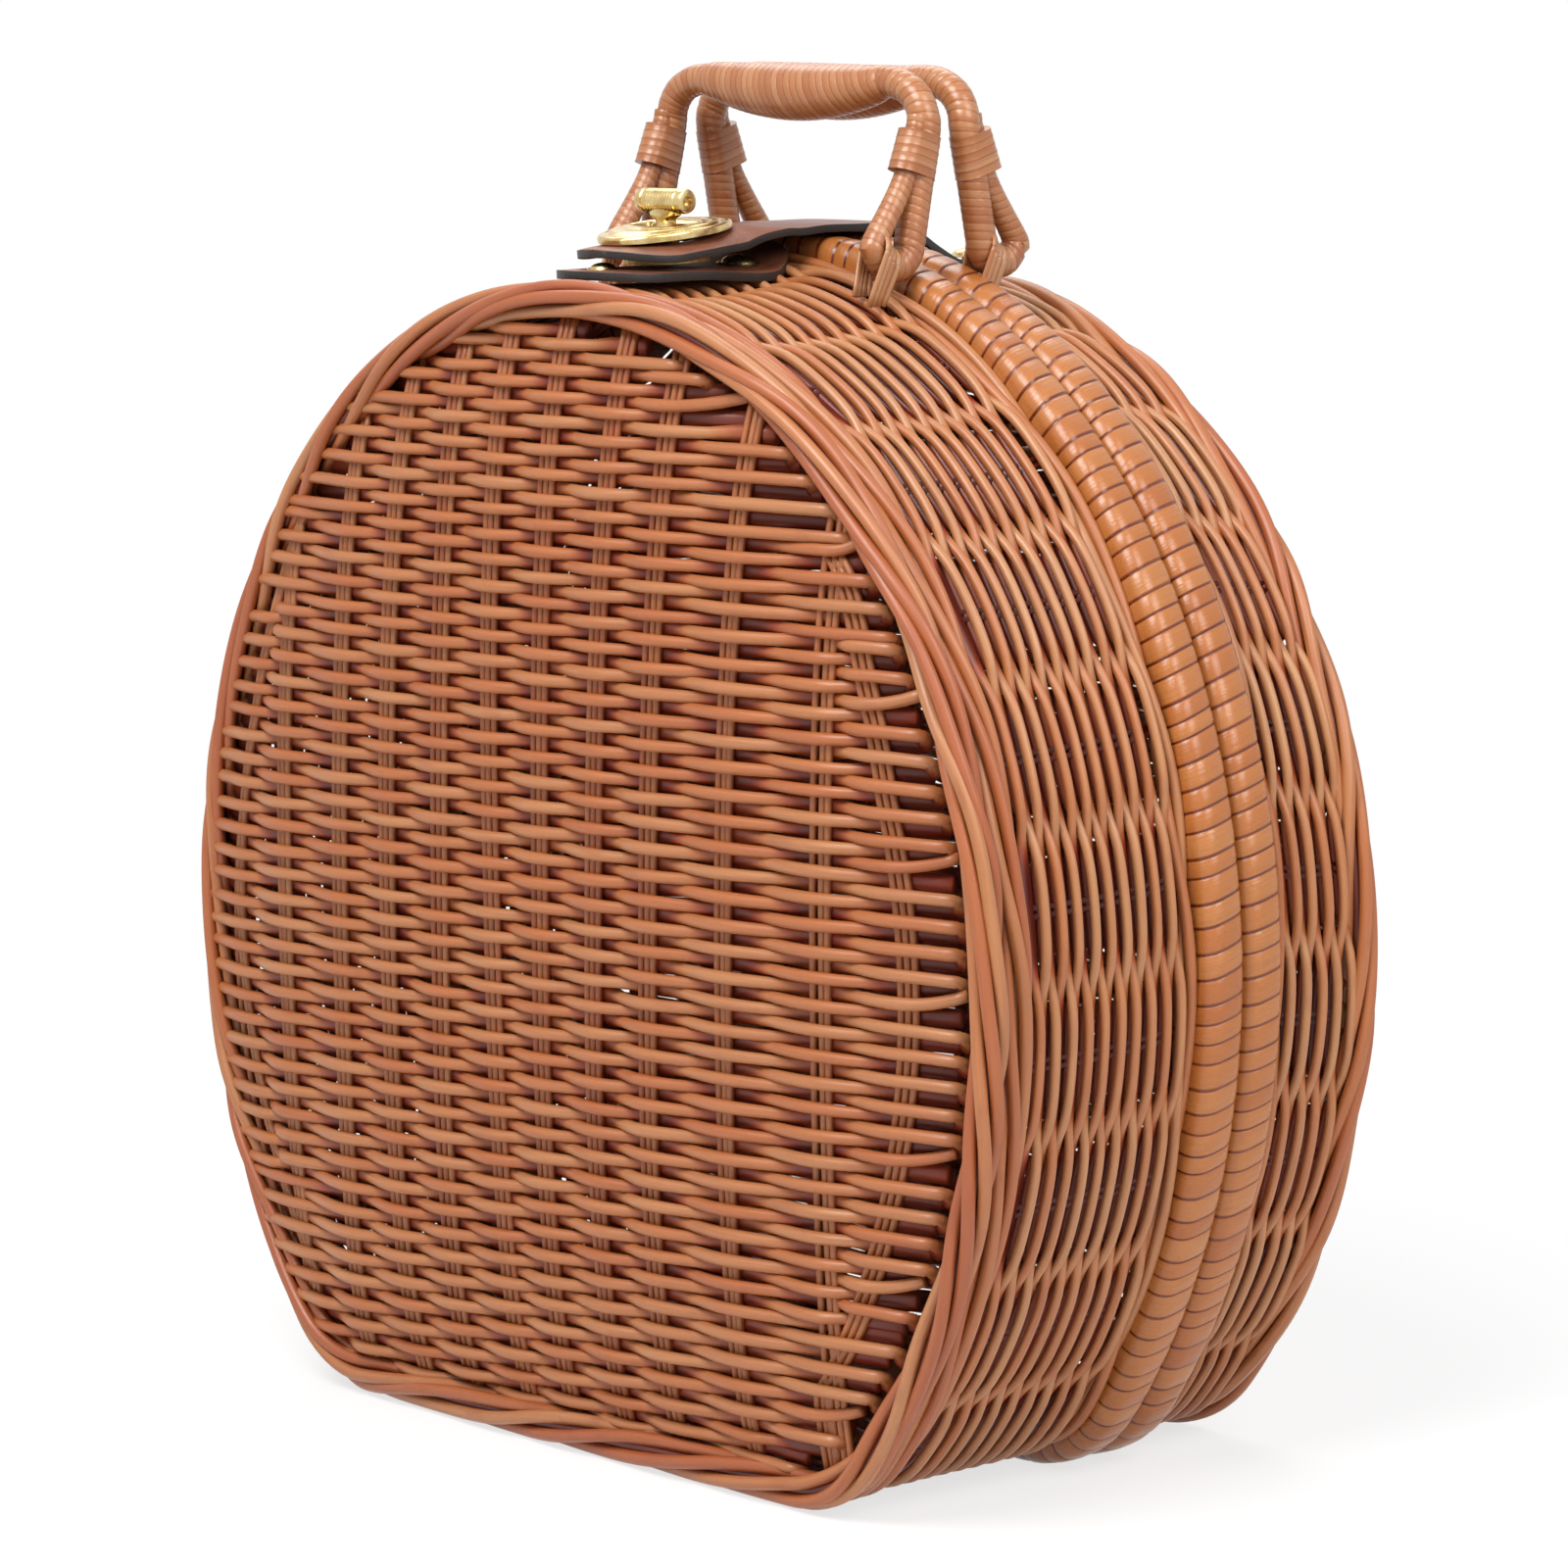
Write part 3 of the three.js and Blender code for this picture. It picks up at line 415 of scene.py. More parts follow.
brownLeather = leatherMaterial("brownLeather", srgb(92, 50, 34), srgb(124, 72, 48), (0.38, 0.6), 0.4)
blackEdge = leatherMaterial("blackEdge", srgb(22, 17, 15), srgb(38, 30, 26), (0.4, 0.6), 0.25)


def brassMaterial(name, deep, pale, rough):
    material, tree, shader = startMaterial(name)
    place = objectPlace(tree)
    tarnish = noise(tree, place, (180, 180, 180), 4.0)
    scratch = noise(tree, place, (3000, 260, 900), 3.0)
    setInputs(tree, shader, {"Base Color": ramp(tree, tarnish, (0.35, deep), (0.65, pale)), "Metallic": 1.0,
                             "Roughness": spread(tree, scratch, rough)})
    return material


paleBrass = brassMaterial("paleBrass", srgb(190, 158, 100), srgb(226, 204, 148), (0.16, 0.34))
dullBrass = brassMaterial("dullBrass", srgb(140, 108, 56), srgb(186, 150, 84), (0.3, 0.5))
print("materials made")

# woven panels: stakes of three thin rods, and rows of rods that pass over one stake and under the next
panel = dict(stakes=[-109, -82, -60, -41, -20.5, -2, 19.5, 38.5, 66, 95], rowPitch=3.15, rodRadius=1.5, swell=0.12,
             wave=2.2, stakeRadius=1.0, stakeSpread=2.1, stakeLean=2, tipInset=dict(base=(1.8, 12.3), lid=(6.0, 10.0)),
             topReach=3.5, topFrom=200, topTo=245, edgeTop=226, edgePast=6, tuck=7.5, nose=2.1, recess=3, crown=8,
             turnBack=1.8, thickness=6, border=12.3, wander=0.4, throughEvery=11, throughFirst=4, throughRise=3.0,
             throughPast=1.5, middle=146, low=9.5, high=283, edgeHeights=[10, 30, 80, 176, 207, 226],
             edgeGaps=[11, 14, 15, 15.5, 12, 8], edgeRoom=9, tipRoom=4, underShade=0.5, underFlat=0.55, steps=8,
             tones=(0.45, 0.75), darkest=0.08, footAt=[90, 100, 125], footHeights=[7.5, 10.5, 34])


def panelSurface(half):
    edge = outlineCurve(insetEdge(borderEdge, panel["border"]))["points"]
    spoke = edge - [0, panel["middle"]]
    angle = np.arctan2(spoke[:, 1], spoke[:, 0])
    order = np.argsort(angle)
    angle, reach = angle[order], np.linalg.norm(spoke, axis=1)[order]

    def outwards(x, z):
        a = np.arctan2(z - panel["middle"], x)
        share = np.hypot(x, z - panel["middle"]) / np.interp(a, angle, reach, period=2 * pi)
        lift = panel["crown"] * (1 - np.clip(share, 0, 1.06) ** 3)
        lift = lift - panel["turnBack"] * np.clip((share - 0.8) / 0.2, 0, 1.2) ** 2
        return half["depth"] - panel["recess"] - panel["thickness"] / 2 + lift

    return outwards


# one end of a row: it runs on under the border, stops behind, or turns round the edge stakes to the back
def rowEnd(at, tip, sign, through):
    wave, nose = panel["wave"], panel["nose"]
    if through:
        t = np.linspace(0, 1, 7)[1:]
        return (at + (tip + panel["throughPast"] - at) * t, sign * wave * (1 - t) + 0.4 * t,
                panel["throughRise"] * t**2, np.full(6, 0.5))
    if sign < 0:
        return np.array([max(tip - nose, at + 1)]), np.array([-wave]), np.zeros(1), np.full(1, 0.5)
    bend = np.linspace(0, pi, 8)
    straight = max(tip - nose - at, 1)
    x = np.concatenate([at + straight * np.array([0.35, 0.7]), at + straight + nose * np.sin(bend)])
    off = np.concatenate([[wave, wave], wave * np.cos(bend)])
    drop = np.concatenate([[0, -0.1], -0.2 - (panel["rowPitch"] - 0.2) * (bend / pi) ** 2])
    return x, off, drop, np.full(len(x), 0.9)


# one flank of a panel: where its rows end and where its edge stake stands; one flank is drawn in tighter
def panelFlank(name, tight):
    widthAt = halfWidthAt(insetEdge(borderEdge, panel["tipInset"][name][tight]))
    further = lambda z: np.interp(z, [panel["topFrom"], panel["topTo"]], [0, panel["topReach"]])
    tipAt = lambda z: widthAt(z) + tight * further(z)
    edgeAt = lambda z: tipAt(z) - np.interp(z, panel["edgeHeights"], panel["edgeGaps"])
    return dict(tipAt=tipAt, edgeAt=edgeAt, tight=tight)


def weavePanel(name, seed):
    half = halves[name]
    bundle = newBundle(seed)
    rng = bundle["rng"]
    outwards = panelSurface(half)
    place = lambda x, z, off=0: inCase(half, x, outwards(x, z) + off, z)
    mirror = -half["side"]  # the back panel has its stakes the other way round
    flanks = {hand: panelFlank(name, hand == mirror) for hand in (-1, 1)}
    stakes = np.sort(np.array(panel["stakes"]) * mirror)

    tuckEdge = insetEdge(borderEdge, panel["tuck"])
    tuckAt = halfWidthAt(tuckEdge)
    top = outlineCurve(tuckEdge)["points"]
    top = top[top[:, 1] > case["widest"]]
    top = top[np.argsort(top[:, 0])]
    topAt = lambda x: np.interp(x, top[:, 0], top[:, 1])
    bottomAt = lambda x: np.interp(abs(x), panel["footAt"], panel["footHeights"])
    spreads = panel["stakeSpread"] * np.array([-1, 0, 1])
    for x0 in stakes:
        lean = rng.uniform(-panel["stakeLean"], panel["stakeLean"])
        for aside in spreads:
            z = np.linspace(bottomAt(x0), topAt(x0 + aside), 60)
            x = x0 + aside + lean * np.sin(z / 90 + x0) + 0.2 * rng.normal()
            addRod(bundle, place(x, z), panel["stakeRadius"], (1, 0, 0), 6, rng.uniform(0.4, 0.7))
    for hand, flank in flanks.items():
        for aside in spreads:
            z = np.linspace(panel["tuck"], panel["edgeTop"] + panel["edgePast"], 90)
            x = flank["edgeAt"](np.maximum(z, panel["edgeHeights"][1])) + aside
            z = z[x < tuckAt(z)]
            x = x[-len(z):]
            addRod(bundle, place(hand * x, z), panel["stakeRadius"], (1, 0, 0), 6, rng.uniform(0.5, 0.8))

    t = np.arange(panel["steps"]) / panel["steps"]
    swing = np.cos(pi * t)
    for row, z0 in enumerate(np.arange(panel["low"], panel["high"], panel["rowPitch"])):
        tips = {hand: float(flank["tipAt"](z0)) - rng.uniform(0, 1.0) for hand, flank in flanks.items()}
        edges = {hand: float(flank["edgeAt"](z0)) for hand, flank in flanks.items() if z0 < panel["edgeTop"]}
        reach = {hand: edges[hand] - panel["edgeRoom"] if edges else tips[hand] - panel["tipRoom"] for hand in flanks}
        index = np.nonzero((stakes > -reach[-1]) & (stakes < reach[1]))[0]
        if len(index) < 2:
            continue
        crossings, first = stakes[index], index[0]
        if edges:
            crossings, first = np.concatenate([[-edges[-1]], crossings, [edges[1]]]), first - 1
        signs = np.where((np.arange(len(crossings)) + first + row) % 2 == 0, 1.0, -1.0)
        through = row % panel["throughEvery"] in (panel["throughFirst"], panel["throughFirst"] + 1)
        left, right = (rowEnd(at, tips[hand], sign, through and flanks[hand]["tight"] and sign > 0)
                       for at, hand, sign in ((-crossings[0], -1, signs[0]), (crossings[-1], 1, signs[-1])))
        # place along the row, way out of the panel, rise and swell, from the left end to the right end
        runs = [(-left[0][::-1], *(run[::-1] for run in left[1:]))]
        for a, b, sign in zip(crossings[:-1], crossings[1:], signs[:-1]):
            runs.append((a + (b - a) * t, sign * panel["wave"] * swing, 0 * t, swing**2))
        runs += [(crossings[-1:], signs[-1:] * panel["wave"], np.zeros(1), np.ones(1)), right]
        x, off, rise, squeeze = (np.concatenate(run) for run in zip(*runs))
        phase = rng.uniform(0, 6.28, 2)
        z = z0 + rise + panel["wander"] * (np.sin(x / 31 + phase[0]) * 0.6 + np.sin(x / 13 + phase[1]) * 0.4)
        addWoven(bundle, place(x, z, off), panel, off / panel["wave"], squeeze, (0, 1, 0))
    finishBundle(bundle, name + "WovenPanel", [weaveCane], name, "weave", name + "_panel")


weavePanel("base", 11)
weavePanel("lid", 12)


# a band of strands that twist round one another along a closed outline, at a depth from the seam
strand = dict(steps=400, sizes=(0.94, 1.04), tones=(0.35, 0.75))


def twist(bundle, half, curve, depth, band, drawnIn=None):
    rng = bundle["rng"]
    s = np.linspace(0, curve["length"], strand["steps"], endpoint=False)
    points, normals = outlineAt(curve, s)
    if drawnIn:
        share = drawnIn(points[:, 0])
        points = points - normals * (band["drawSide"] * share)[:, None]
        depth = depth - band["drawBack"] * share
    centre = inCase(half, points[:, 0], depth + 0 * s, points[:, 1])
    outward = np.insert(normals, 1, 0, axis=1)
    for n in range(band["strands"]):
        wobble = band["wobble"] * np.sin(s / curve["length"] * 2 * pi * rng.integers(5, 13) + rng.uniform(0, 6))
        turn = 2 * pi * (n / band["strands"] + band["turns"] * s / curve["length"]) + wobble
        off = band["outReach"] * np.cos(turn)[:, None] * outward
        off[:, 1] += half["side"] * band["sideReach"] * np.sin(turn)
        radius = band["strandRadius"] * rng.uniform(*strand["sizes"])
        addRod(bundle, centre + off, radius, outward, 8, rng.uniform(*strand["tones"]), closedAlong=True)
    return centre, outward


# borders: strands twisted like rope round the edge of the panel, over a core painted nearly black as painted shade
# between the strands
border = dict(strands=5, outReach=3.1, sideReach=3.1, strandRadius=1.75, turns=6, wobble=0.35, coreRadius=1.8,
              coreShadeTone=0.03, centre=3.4, bottom=5.2, depth=6.3, drawSide=0.5, drawBack=3.4, drawFrom=-120, drawTo=-30)


def twistBorder(name, seed):
    half = halves[name]
    bundle = newBundle(seed)
    edge = insetEdge(borderEdge, border["centre"])
    edge[2] = border["bottom"]
    # on the left of the front the rows of the panel turn over the border, which lies further in there
    drawnIn = lambda x: np.interp(x, [border["drawFrom"], border["drawTo"]], [1, 0])
    centre, outward = twist(bundle, half, outlineCurve(edge), half["depth"] - border["depth"], border,
                            drawnIn if name == "base" else None)
    # the core is painted shade, seen in the gaps between the strands
    addRod(bundle, centre, border["coreRadius"], outward, 8, border["coreShadeTone"], closedAlong=True)
    finishBundle(bundle, name + "TwistedBorder", [weaveCane], name, "weave", name + "_border")


twistBorder("base", 21)
twistBorder("lid", 22)

# walls: rods that run round the case, over one pair of stakes and under the next, beside twisted bands
wall = dict(stations=26, rowPitch=2.75, rodRadius=1.22, swell=0.08, wave=1.7, inset=2.7, stakeRadius=0.9, first=19.0,
            flatness=2.0, stakeSpread=1.0, perStation=12, wander=0.35, underShade=0.6, underFlat=1.0, stakeSink=1.6,
            stakeStart=9.5, stakePast=2, clear=0.3, underBorder=3.0, tones=(0.55, 0.9), darkest=0.02)
rimBand = dict(strands=2, outReach=1.3, sideReach=1.5, strandRadius=1.45, turns=8, wobble=0.3, depth=15.9)
borderBand = dict(strands=4, outReach=1.7, sideReach=2.7, strandRadius=1.7, turns=6, wobble=0.35, fromBorder=2.2,
                  room=8.4)


def weaveWall(name, seed):
    half = halves[name]
    bundle = newBundle(seed)
    rng = bundle["rng"]
    stop = half["depth"] - case["borderWidth"] - wall["clear"]
    curveAt = lambda d: outlineCurve(insetEdge(wallEdge(half, d), wall["inset"]))
    last = stop + wall["underBorder"]
    if name == "base":
        twist(bundle, half, curveAt(stop - borderBand["fromBorder"]), stop - borderBand["fromBorder"], borderBand)
        last = stop - borderBand["room"]
    twist(bundle, half, curveAt(rimBand["depth"]), rimBand["depth"], rimBand)
    depths = np.linspace(wall["first"], last, int(round((last - wall["first"]) / wall["rowPitch"])) + 1)
    samples = wall["stations"] * wall["perStation"]
    share = np.arange(samples) / samples
    swing = np.cos(pi * share * wall["stations"])
    ride = np.tanh(wall["flatness"] * swing) / tanh(wall["flatness"])
    for row, d0 in enumerate(depths):
        curve = curveAt(d0)
        points, normals = outlineAt(curve, share * curve["length"])
        over = ride if row % 2 == 0 else -ride
        turns = rng.integers(6, 17, 2)
        phase = rng.uniform(0, 6.28, 2)
        drift = sum(np.sin(2 * pi * share * n + p) for n, p in zip(turns, phase)) * wall["wander"] / 2
        p = points + normals * (wall["wave"] * over)[:, None]
        addWoven(bundle, inCase(half, p[:, 0], d0 + drift, p[:, 1]), wall, over, ride**2,
                 np.insert(normals, 1, 0, axis=1), closedAlong=True)
    d = np.linspace(wall["stakeStart"], stop + wall["stakePast"], 14)
    curves = [curveAt(v) for v in d]
    for at in np.arange(wall["stations"]) / wall["stations"]:
        for n in (-1, 1):
            pairs = [outlineAt(c, at * c["length"] + n * wall["stakeSpread"]) for c in curves]
            p = np.array([point - normal * wall["stakeSink"] for point, normal in pairs])
            # the stakes are painted nearly black: painted shade in the gaps between the rows
            addRod(bundle, inCase(half, p[:, 0], d, p[:, 1]), wall["stakeRadius"], np.insert(pairs[0][1], 1, 0), 6,
                   rng.uniform(0.0, 0.08))
    finishBundle(bundle, name + "WovenWall", [weaveCane], name, "weave", name + "_wall")


weaveWall("base", 31)
weaveWall("lid", 32)

# rims: flat peel wound over the hoop, turn by turn, with a thin dark joint between turns
rim = dict(face=0.25, thickness=12.8, round=4.6, innerRound=2.5, stripWidth=5.4, groove=0.3, slant=0.24, crown=0.05,
           shares=[0.0, 0.08, 0.14, 0.5, 0.87, 0.94], lifts=[-1.0, -0.3, 0.0, 0.1, -0.15, -0.55], hingeRoom=0.4,
           hingeGap=0.3, smooth=15)


def rimSection():
    low, high, deep = rim["face"], case["rimWidth"], rim["thickness"]
    outer, inner = rim["round"], rim["innerRound"]
    corners = [(high - outer, outer, outer), (low + outer, outer, outer), (low + inner, deep - inner, inner),
               (high - inner, deep - inner, inner)]
    points, normals = [], []
    for quarter, (d, t, radius) in enumerate(corners):
        for n in range(6):
            angle = pi / 2 * (quarter + n / 5)
            normals.append((cos(angle), -sin(angle)))
            points.append((d + radius * cos(angle), t - radius * sin(angle)))
        if quarter == 0:  # a slight crown on the outer face
            normals.append((0, -1))
            points.append(((low + high) / 2, -rim["crown"]))
    return np.array(points), np.array(normals)


# the underside stays above the flats that hold the hinge leaves
def clearHinges(grid, name):
    for word in hands:
        low, high = (np.array(corner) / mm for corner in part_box("hinge_" + name + "_leaf_" + word))
        inside = (grid > low - rim["hingeRoom"]) & (grid < high + rim["hingeRoom"])
        over = inside[..., 0] & inside[..., 1]
        grid[..., 2] = np.where(over, np.maximum(grid[..., 2], high[2] + rim["hingeGap"]), grid[..., 2])


def bindRim(name, seed):
    half = halves[name]
    bundle = newBundle(seed)
    rng = bundle["rng"]
    section, out = rimSection()
    middle = rim["thickness"] / 2
    curve = outlineCurve(insetEdge(rimEdge, middle))
    count, strip = int(round(curve["length"] / rim["stripWidth"])), len(rim["shares"])
    widths = rng.uniform(0.75, 1.25, count)
    widths *= curve["length"] / widths.sum()
    starts = np.cumsum(widths) - widths
    s = (starts[:, None] + widths[:, None] * rim["shares"]).reshape(-1)
    lift = np.tile(np.array(rim["lifts"]) * rim["groove"], count) + np.repeat(rng.uniform(-0.12, 0.0, count), strip)
    slants = np.repeat(rim["slant"] * rng.uniform(0.6, 1.4, count), strip)
    n = rim["smooth"]
    flow = np.convolve(np.concatenate([slants[-n:], slants, slants[:n]]), np.ones(2 * n + 1) / (2 * n + 1), "valid")
    place = s[:, None] + flow[:, None] * (section[None, :, 0] - case["rimWidth"] / 2) * half["side"]
    points, normals = outlineAt(curve, place)
    depth, inset = (section[None, :, n] + out[None, :, n] * lift[:, None] for n in (0, 1))
    p = points + normals * (middle - inset)[..., None]
    grid = inCase(half, p[..., 0], depth, p[..., 1])
    clearHinges(grid, name)
    grain = np.zeros(grid.shape)
    grain[..., 0] = walked(section)[None] + 53.0 * np.repeat(np.arange(count), strip)[:, None]
    grain[..., 1] = s[:, None]
    tone = np.repeat(rng.uniform(0.4, 0.7, count), strip)
    tone[::strip], tone[1::strip] = 0, 0.05  # the joints are dark
    if name == "lid":
        grid, grain = grid[:, ::-1], grain[:, ::-1]
    addSkin(bundle, grid, grain, tone[:, None], closedAlong=True)
    finishBundle(bundle, name + "RimBinding", [peelCane], name, "peel", name + "_rim_binding", name + "_rim_hoop",
                 sharp=40)


bindRim("base", 41)
bindRim("lid", 42)

# handles: a wrapped rod with an eye at each foot, a padded grip, and bindings round the rod's ends
handle = dict(rod=4.0, footX=47, footOffset=18.5, footRise=-1.3, height=39.5, eye=6, cornerX=46.5, legShare=0.69,
              bindingShare=0.42, rodEndShare=0.79, eyeLead=2, gripOffset=7.0, gripHalf=33, gripEnd=4.0, gripRadius=7.2,
              strandLow=5.2, strandHigh=3.2, strandEnd=2.6, strandEye=3.1, wrapPitch=2.1, wrapRidge=0.06, wrapTilt=0.25,
              gripPitch=2.3, gripRidge=0.07, gripTilt=0.4, bindingWall=0.12, bindingShort=0.6,
              thinAt=[0, 0.28, 0.46], rodSides=14, gripSides=22, gripSteps=60, gripSwell=0.8)
footHeight = rimEdge[1] + handle["footRise"]
legHeight = handle["legShare"] * handle["height"]
bindingLow = handle["bindingShare"] * handle["height"]


def legPoint(rise, strand=0.0):
    legOffset = handle["footOffset"] - handle["eye"]
    return np.array([handle["footX"] + (handle["cornerX"] - handle["footX"]) * rise / handle["height"],
                     legOffset + (handle["gripOffset"] - legOffset) * rise / legHeight + strand, footHeight + rise])


def rightRod():
    low, high = handle["strandLow"], handle["strandHigh"]
    path = [legPoint(handle["rodEndShare"] * handle["height"], high), legPoint(legHeight, high),
            legPoint(bindingLow - handle["eyeLead"], low)]
    for angle in np.linspace(0, -pi, 9):
        out = handle["footOffset"] + handle["eye"] * cos(angle)
        path.append(np.array([handle["footX"], out, footHeight + handle["eye"] * sin(angle)]))
    path.append(legPoint(bindingLow - handle["eyeLead"]))
    gripHeight = footHeight + handle["height"]
    a, b = legPoint(legHeight), np.array([handle["cornerX"], handle["gripOffset"], gripHeight])
    c = np.array([handle["gripHalf"] - 2, handle["gripOffset"], gripHeight])
    for t in np.linspace(0, 1, 6):
        path.append((1 - t) ** 2 * a + 2 * t * (1 - t) * b + t**2 * c)
    return smoothLine(path)


def roundSection(count):
    return np.stack([np.cos(fullTurn(count)), np.sin(fullTurn(count))], 1)


def stadium(halfGap, radius, steps=9):
    angle = np.linspace(-pi / 2, pi / 2, steps)
    end = np.stack([halfGap + radius * np.cos(angle), radius * np.sin(angle)], 1)
    return np.concatenate([end, -end])


def buildHandle(name, half, seed):
    place = lambda p, hand: np.asarray(p) * [hand, half["side"], 1] + [0, seamY, 0]
    body = name + "_handle"
    bundle = newBundle(seed)
    # the rod thins towards its end, where it lies back against its own leg
    rods = [handle["strandEnd"], handle["strandEye"], handle["rod"]]
    rodAt = lambda v: np.interp(v, handle["thinAt"], rods) - handle["wrapRidge"]
    strip = handle["wrapPitch"], handle["wrapRidge"], handle["wrapTilt"]
    for hand in (1, -1):
        addWrapped(bundle, place(rightRod(), hand), roundSection(handle["rodSides"]), rodAt, *strip, capMat=1)
    finishBundle(bundle, name + "HandleRod", [wrapCane, cutCane], body, "peel", body + "_core", sharp=50)

    bundle = newBundle(seed + 1)
    v = np.linspace(0, 1, handle["gripSteps"])
    swell = handle["gripRadius"] - handle["gripEnd"]
    radiusAt = lambda v: handle["gripEnd"] + swell * np.sin(pi * v) ** handle["gripSwell"]
    gripTop = footHeight + handle["height"] + handle["gripEnd"]
    path = inCase(half, handle["gripHalf"] * (2 * v - 1), handle["gripOffset"] + 0 * v, gripTop - radiusAt(v))
    addWrapped(bundle, path, roundSection(handle["gripSides"]), lambda v: float(radiusAt(v)) - handle["gripRidge"],
               handle["gripPitch"], handle["gripRidge"], handle["gripTilt"], start=(0, 1, 0))
    finishBundle(bundle, name + "HandleGrip", [wrapCane], body, "peel", body + "_grip", sharp=50)

    low = legPoint(bindingLow, handle["strandLow"] / 2)
    high = legPoint(legHeight - handle["bindingShort"], handle["strandHigh"] / 2)
    section = stadium(handle["strandLow"] / 2, handle["rod"] + handle["bindingWall"])[:, ::-1]
    narrow = 1 - (handle["strandHigh"] - handle["strandLow"]) / (2 * section[:, 1].min())
    for word, hand in hands.items():
        bundle = newBundle(seed + 2)
        addWrapped(bundle, place([low, high], hand), section, lambda v: (1, 1 + (narrow - 1) * v), *strip,
                   start=(0, 1, 0))
        finishBundle(bundle, name + "HandleBinding" + word.title(), [wrapCane], body, "peel", body + "_binding_" + word,
                     sharp=50)


buildHandle("front", halves["base"], 51)
buildHandle("back", halves["lid"], 61)

# lashings: flat strips of cane over the bottom of each eye, spread into the wall on the front side
lashing = dict(strips=4, angle=0.85, slope=0.35, pitch=1.75, width=0.95, thickness=0.45, sink=1.0, gap=0.05, draw=1.6,
               neck=1.2)


def wallTop(half, x, d):
    edge = wallEdge(half, d)
    return case["widest"] + (edge[1] - case["widest"]) * sqrt(1 - (x / edge[0]) ** 2)


def lash(name, body, word, seed):
    half = halves[body]
    bundle = newBundle(seed)
    reach = handle["rod"] + lashing["gap"] + lashing["thickness"]
    slope = lashing["slope"]
    for n in range(lashing["strips"]):
        angle = lashing["angle"] + (n - (lashing["strips"] - 1) / 2) * lashing["pitch"] / handle["eye"]
        out, down = handle["eye"] * sin(angle), handle["eye"] * cos(angle)
        path = []
        for side in (-1, 1):
            aside = side * (reach - lashing["draw"])
            ground = wallTop(half, handle["footX"] + aside, handle["footOffset"]) - lashing["sink"]
            run = [(aside, (footHeight - down - ground) / cos(slope)), (side * reach, lashing["neck"])]
            run += [(-side * reach * cos(t), -reach * sin(t)) for t in np.linspace(pi, pi / 2, 5)]
            path += run if side < 0 else run[::-1][1:]
        path = np.array(path)
        place = np.stack([hands[word] * (handle["footX"] + path[:, 0]),
                          seamY + half["side"] * handle["footOffset"] - out - path[:, 1] * sin(slope),
                          footHeight - down - path[:, 1] * cos(slope)], 1)
        addRod(bundle, smoothLine(place, 4), lashing["width"], (0, cos(slope), -sin(slope)), 8,
               bundle["rng"].uniform(0.5, 0.9), flat=lashing["thickness"] / lashing["width"])
    finishBundle(bundle, name + "Lashing" + word.title(), [wrapCane], body, "peel", name + "_lashing_" + word)


for name, body, seed in (("front", "base", 71), ("back", "lid", 73)):
    lash(name, body, "left", seed)
    lash(name, body, "right", seed + 1)


# leather: a slab with a top, a bottom and side walls; cells that the mask leaves out become holes
def leatherSlab(name, bottom, top, mask, rounding):
    rows, cols = bottom.shape[:2]
    lift = rows * cols
    faces, mats = [], []
    present = lambda i, j: 0 <= i < rows - 1 and 0 <= j < cols - 1 and mask[i, j]
    for i, j in zip(*np.nonzero(mask)):
        a, d = i * cols + j, (i + 1) * cols + j
        b, c = a + 1, d + 1
        faces += [[a, b, c, d], [lift + d, lift + c, lift + b, lift + a]]
        mats += [1, 0]
        for p, q, near in ((a, b, (i - 1, j)), (b, c, (i, j + 1)), (c, d, (i + 1, j)), (d, a, (i, j - 1))):
            if not present(*near):
                faces.append([q, p, lift + p, lift + q])
                mats.append(1)
    points = np.concatenate([bottom.reshape(-1, 3), top.reshape(-1, 3)])
    piece = newPiece(name, points, faces, mats, [brownLeather, blackEdge])
    piece.data.validate()
    roundEdges(piece, rounding)
    return piece


# rounds the edges of a piece, in its own mesh
def roundEdges(piece, width):
    bevel = piece.modifiers.new("round", "BEVEL")
    bevel.width = width * mm
    bevel.segments = 2
    bevel.limit_method = "ANGLE"
    bevel.angle_limit = radians(40)
    bpy.context.view_layer.update()
    mesh = bpy.data.meshes.new_from_object(piece.evaluated_get(bpy.context.evaluated_depsgraph_get()))
    piece.modifiers.clear()
    piece.data = mesh
    mesh.polygons.foreach_set("use_smooth", np.ones(len(mesh.polygons), bool))
    mesh.set_sharp_from_angle(angle=radians(50))


# turn lock: patch, rivets, plate and knob stand on the tilted top of the wall
lockPlace = np.array(joints["knob_turn"]["pos_m"]) / mm
lockAxis = np.array(joints["knob_turn"]["axis"])
lockTilt = atan2(-lockAxis[1], lockAxis[2])


def onPatch(points, lean=0.0):
    c, s = cos(lockTilt + lean), sin(lockTilt + lean)
    x, y, z = np.moveaxis(np.asarray(points, float), -1, 0)
    return np.stack([x, y * c - z * s, y * s + z * c], -1) + lockPlace


strap = dict(width=32, thickness=1.9, tip=75, reach=50.5, lockDepth=50.5, slotX=9.65, slotY=4.65, low=4.5, lean=0.06,
             bow=2.7, bowFrom=24, bowOver=14, puff=0.25, clear=0.3, rounding=0.6)
patch = dict(rear=35, front=31.5, width=32, thickness=2.2, rivetAt=24, droop=0.8, roll=0.1, rollOver=20, rounding=0.5,
             sag=[(-32, 0.5), (-20, 0), (0, -0.9), (15, -1.4), (24, -1.3), (30, 0.6), (35, 2.6)])


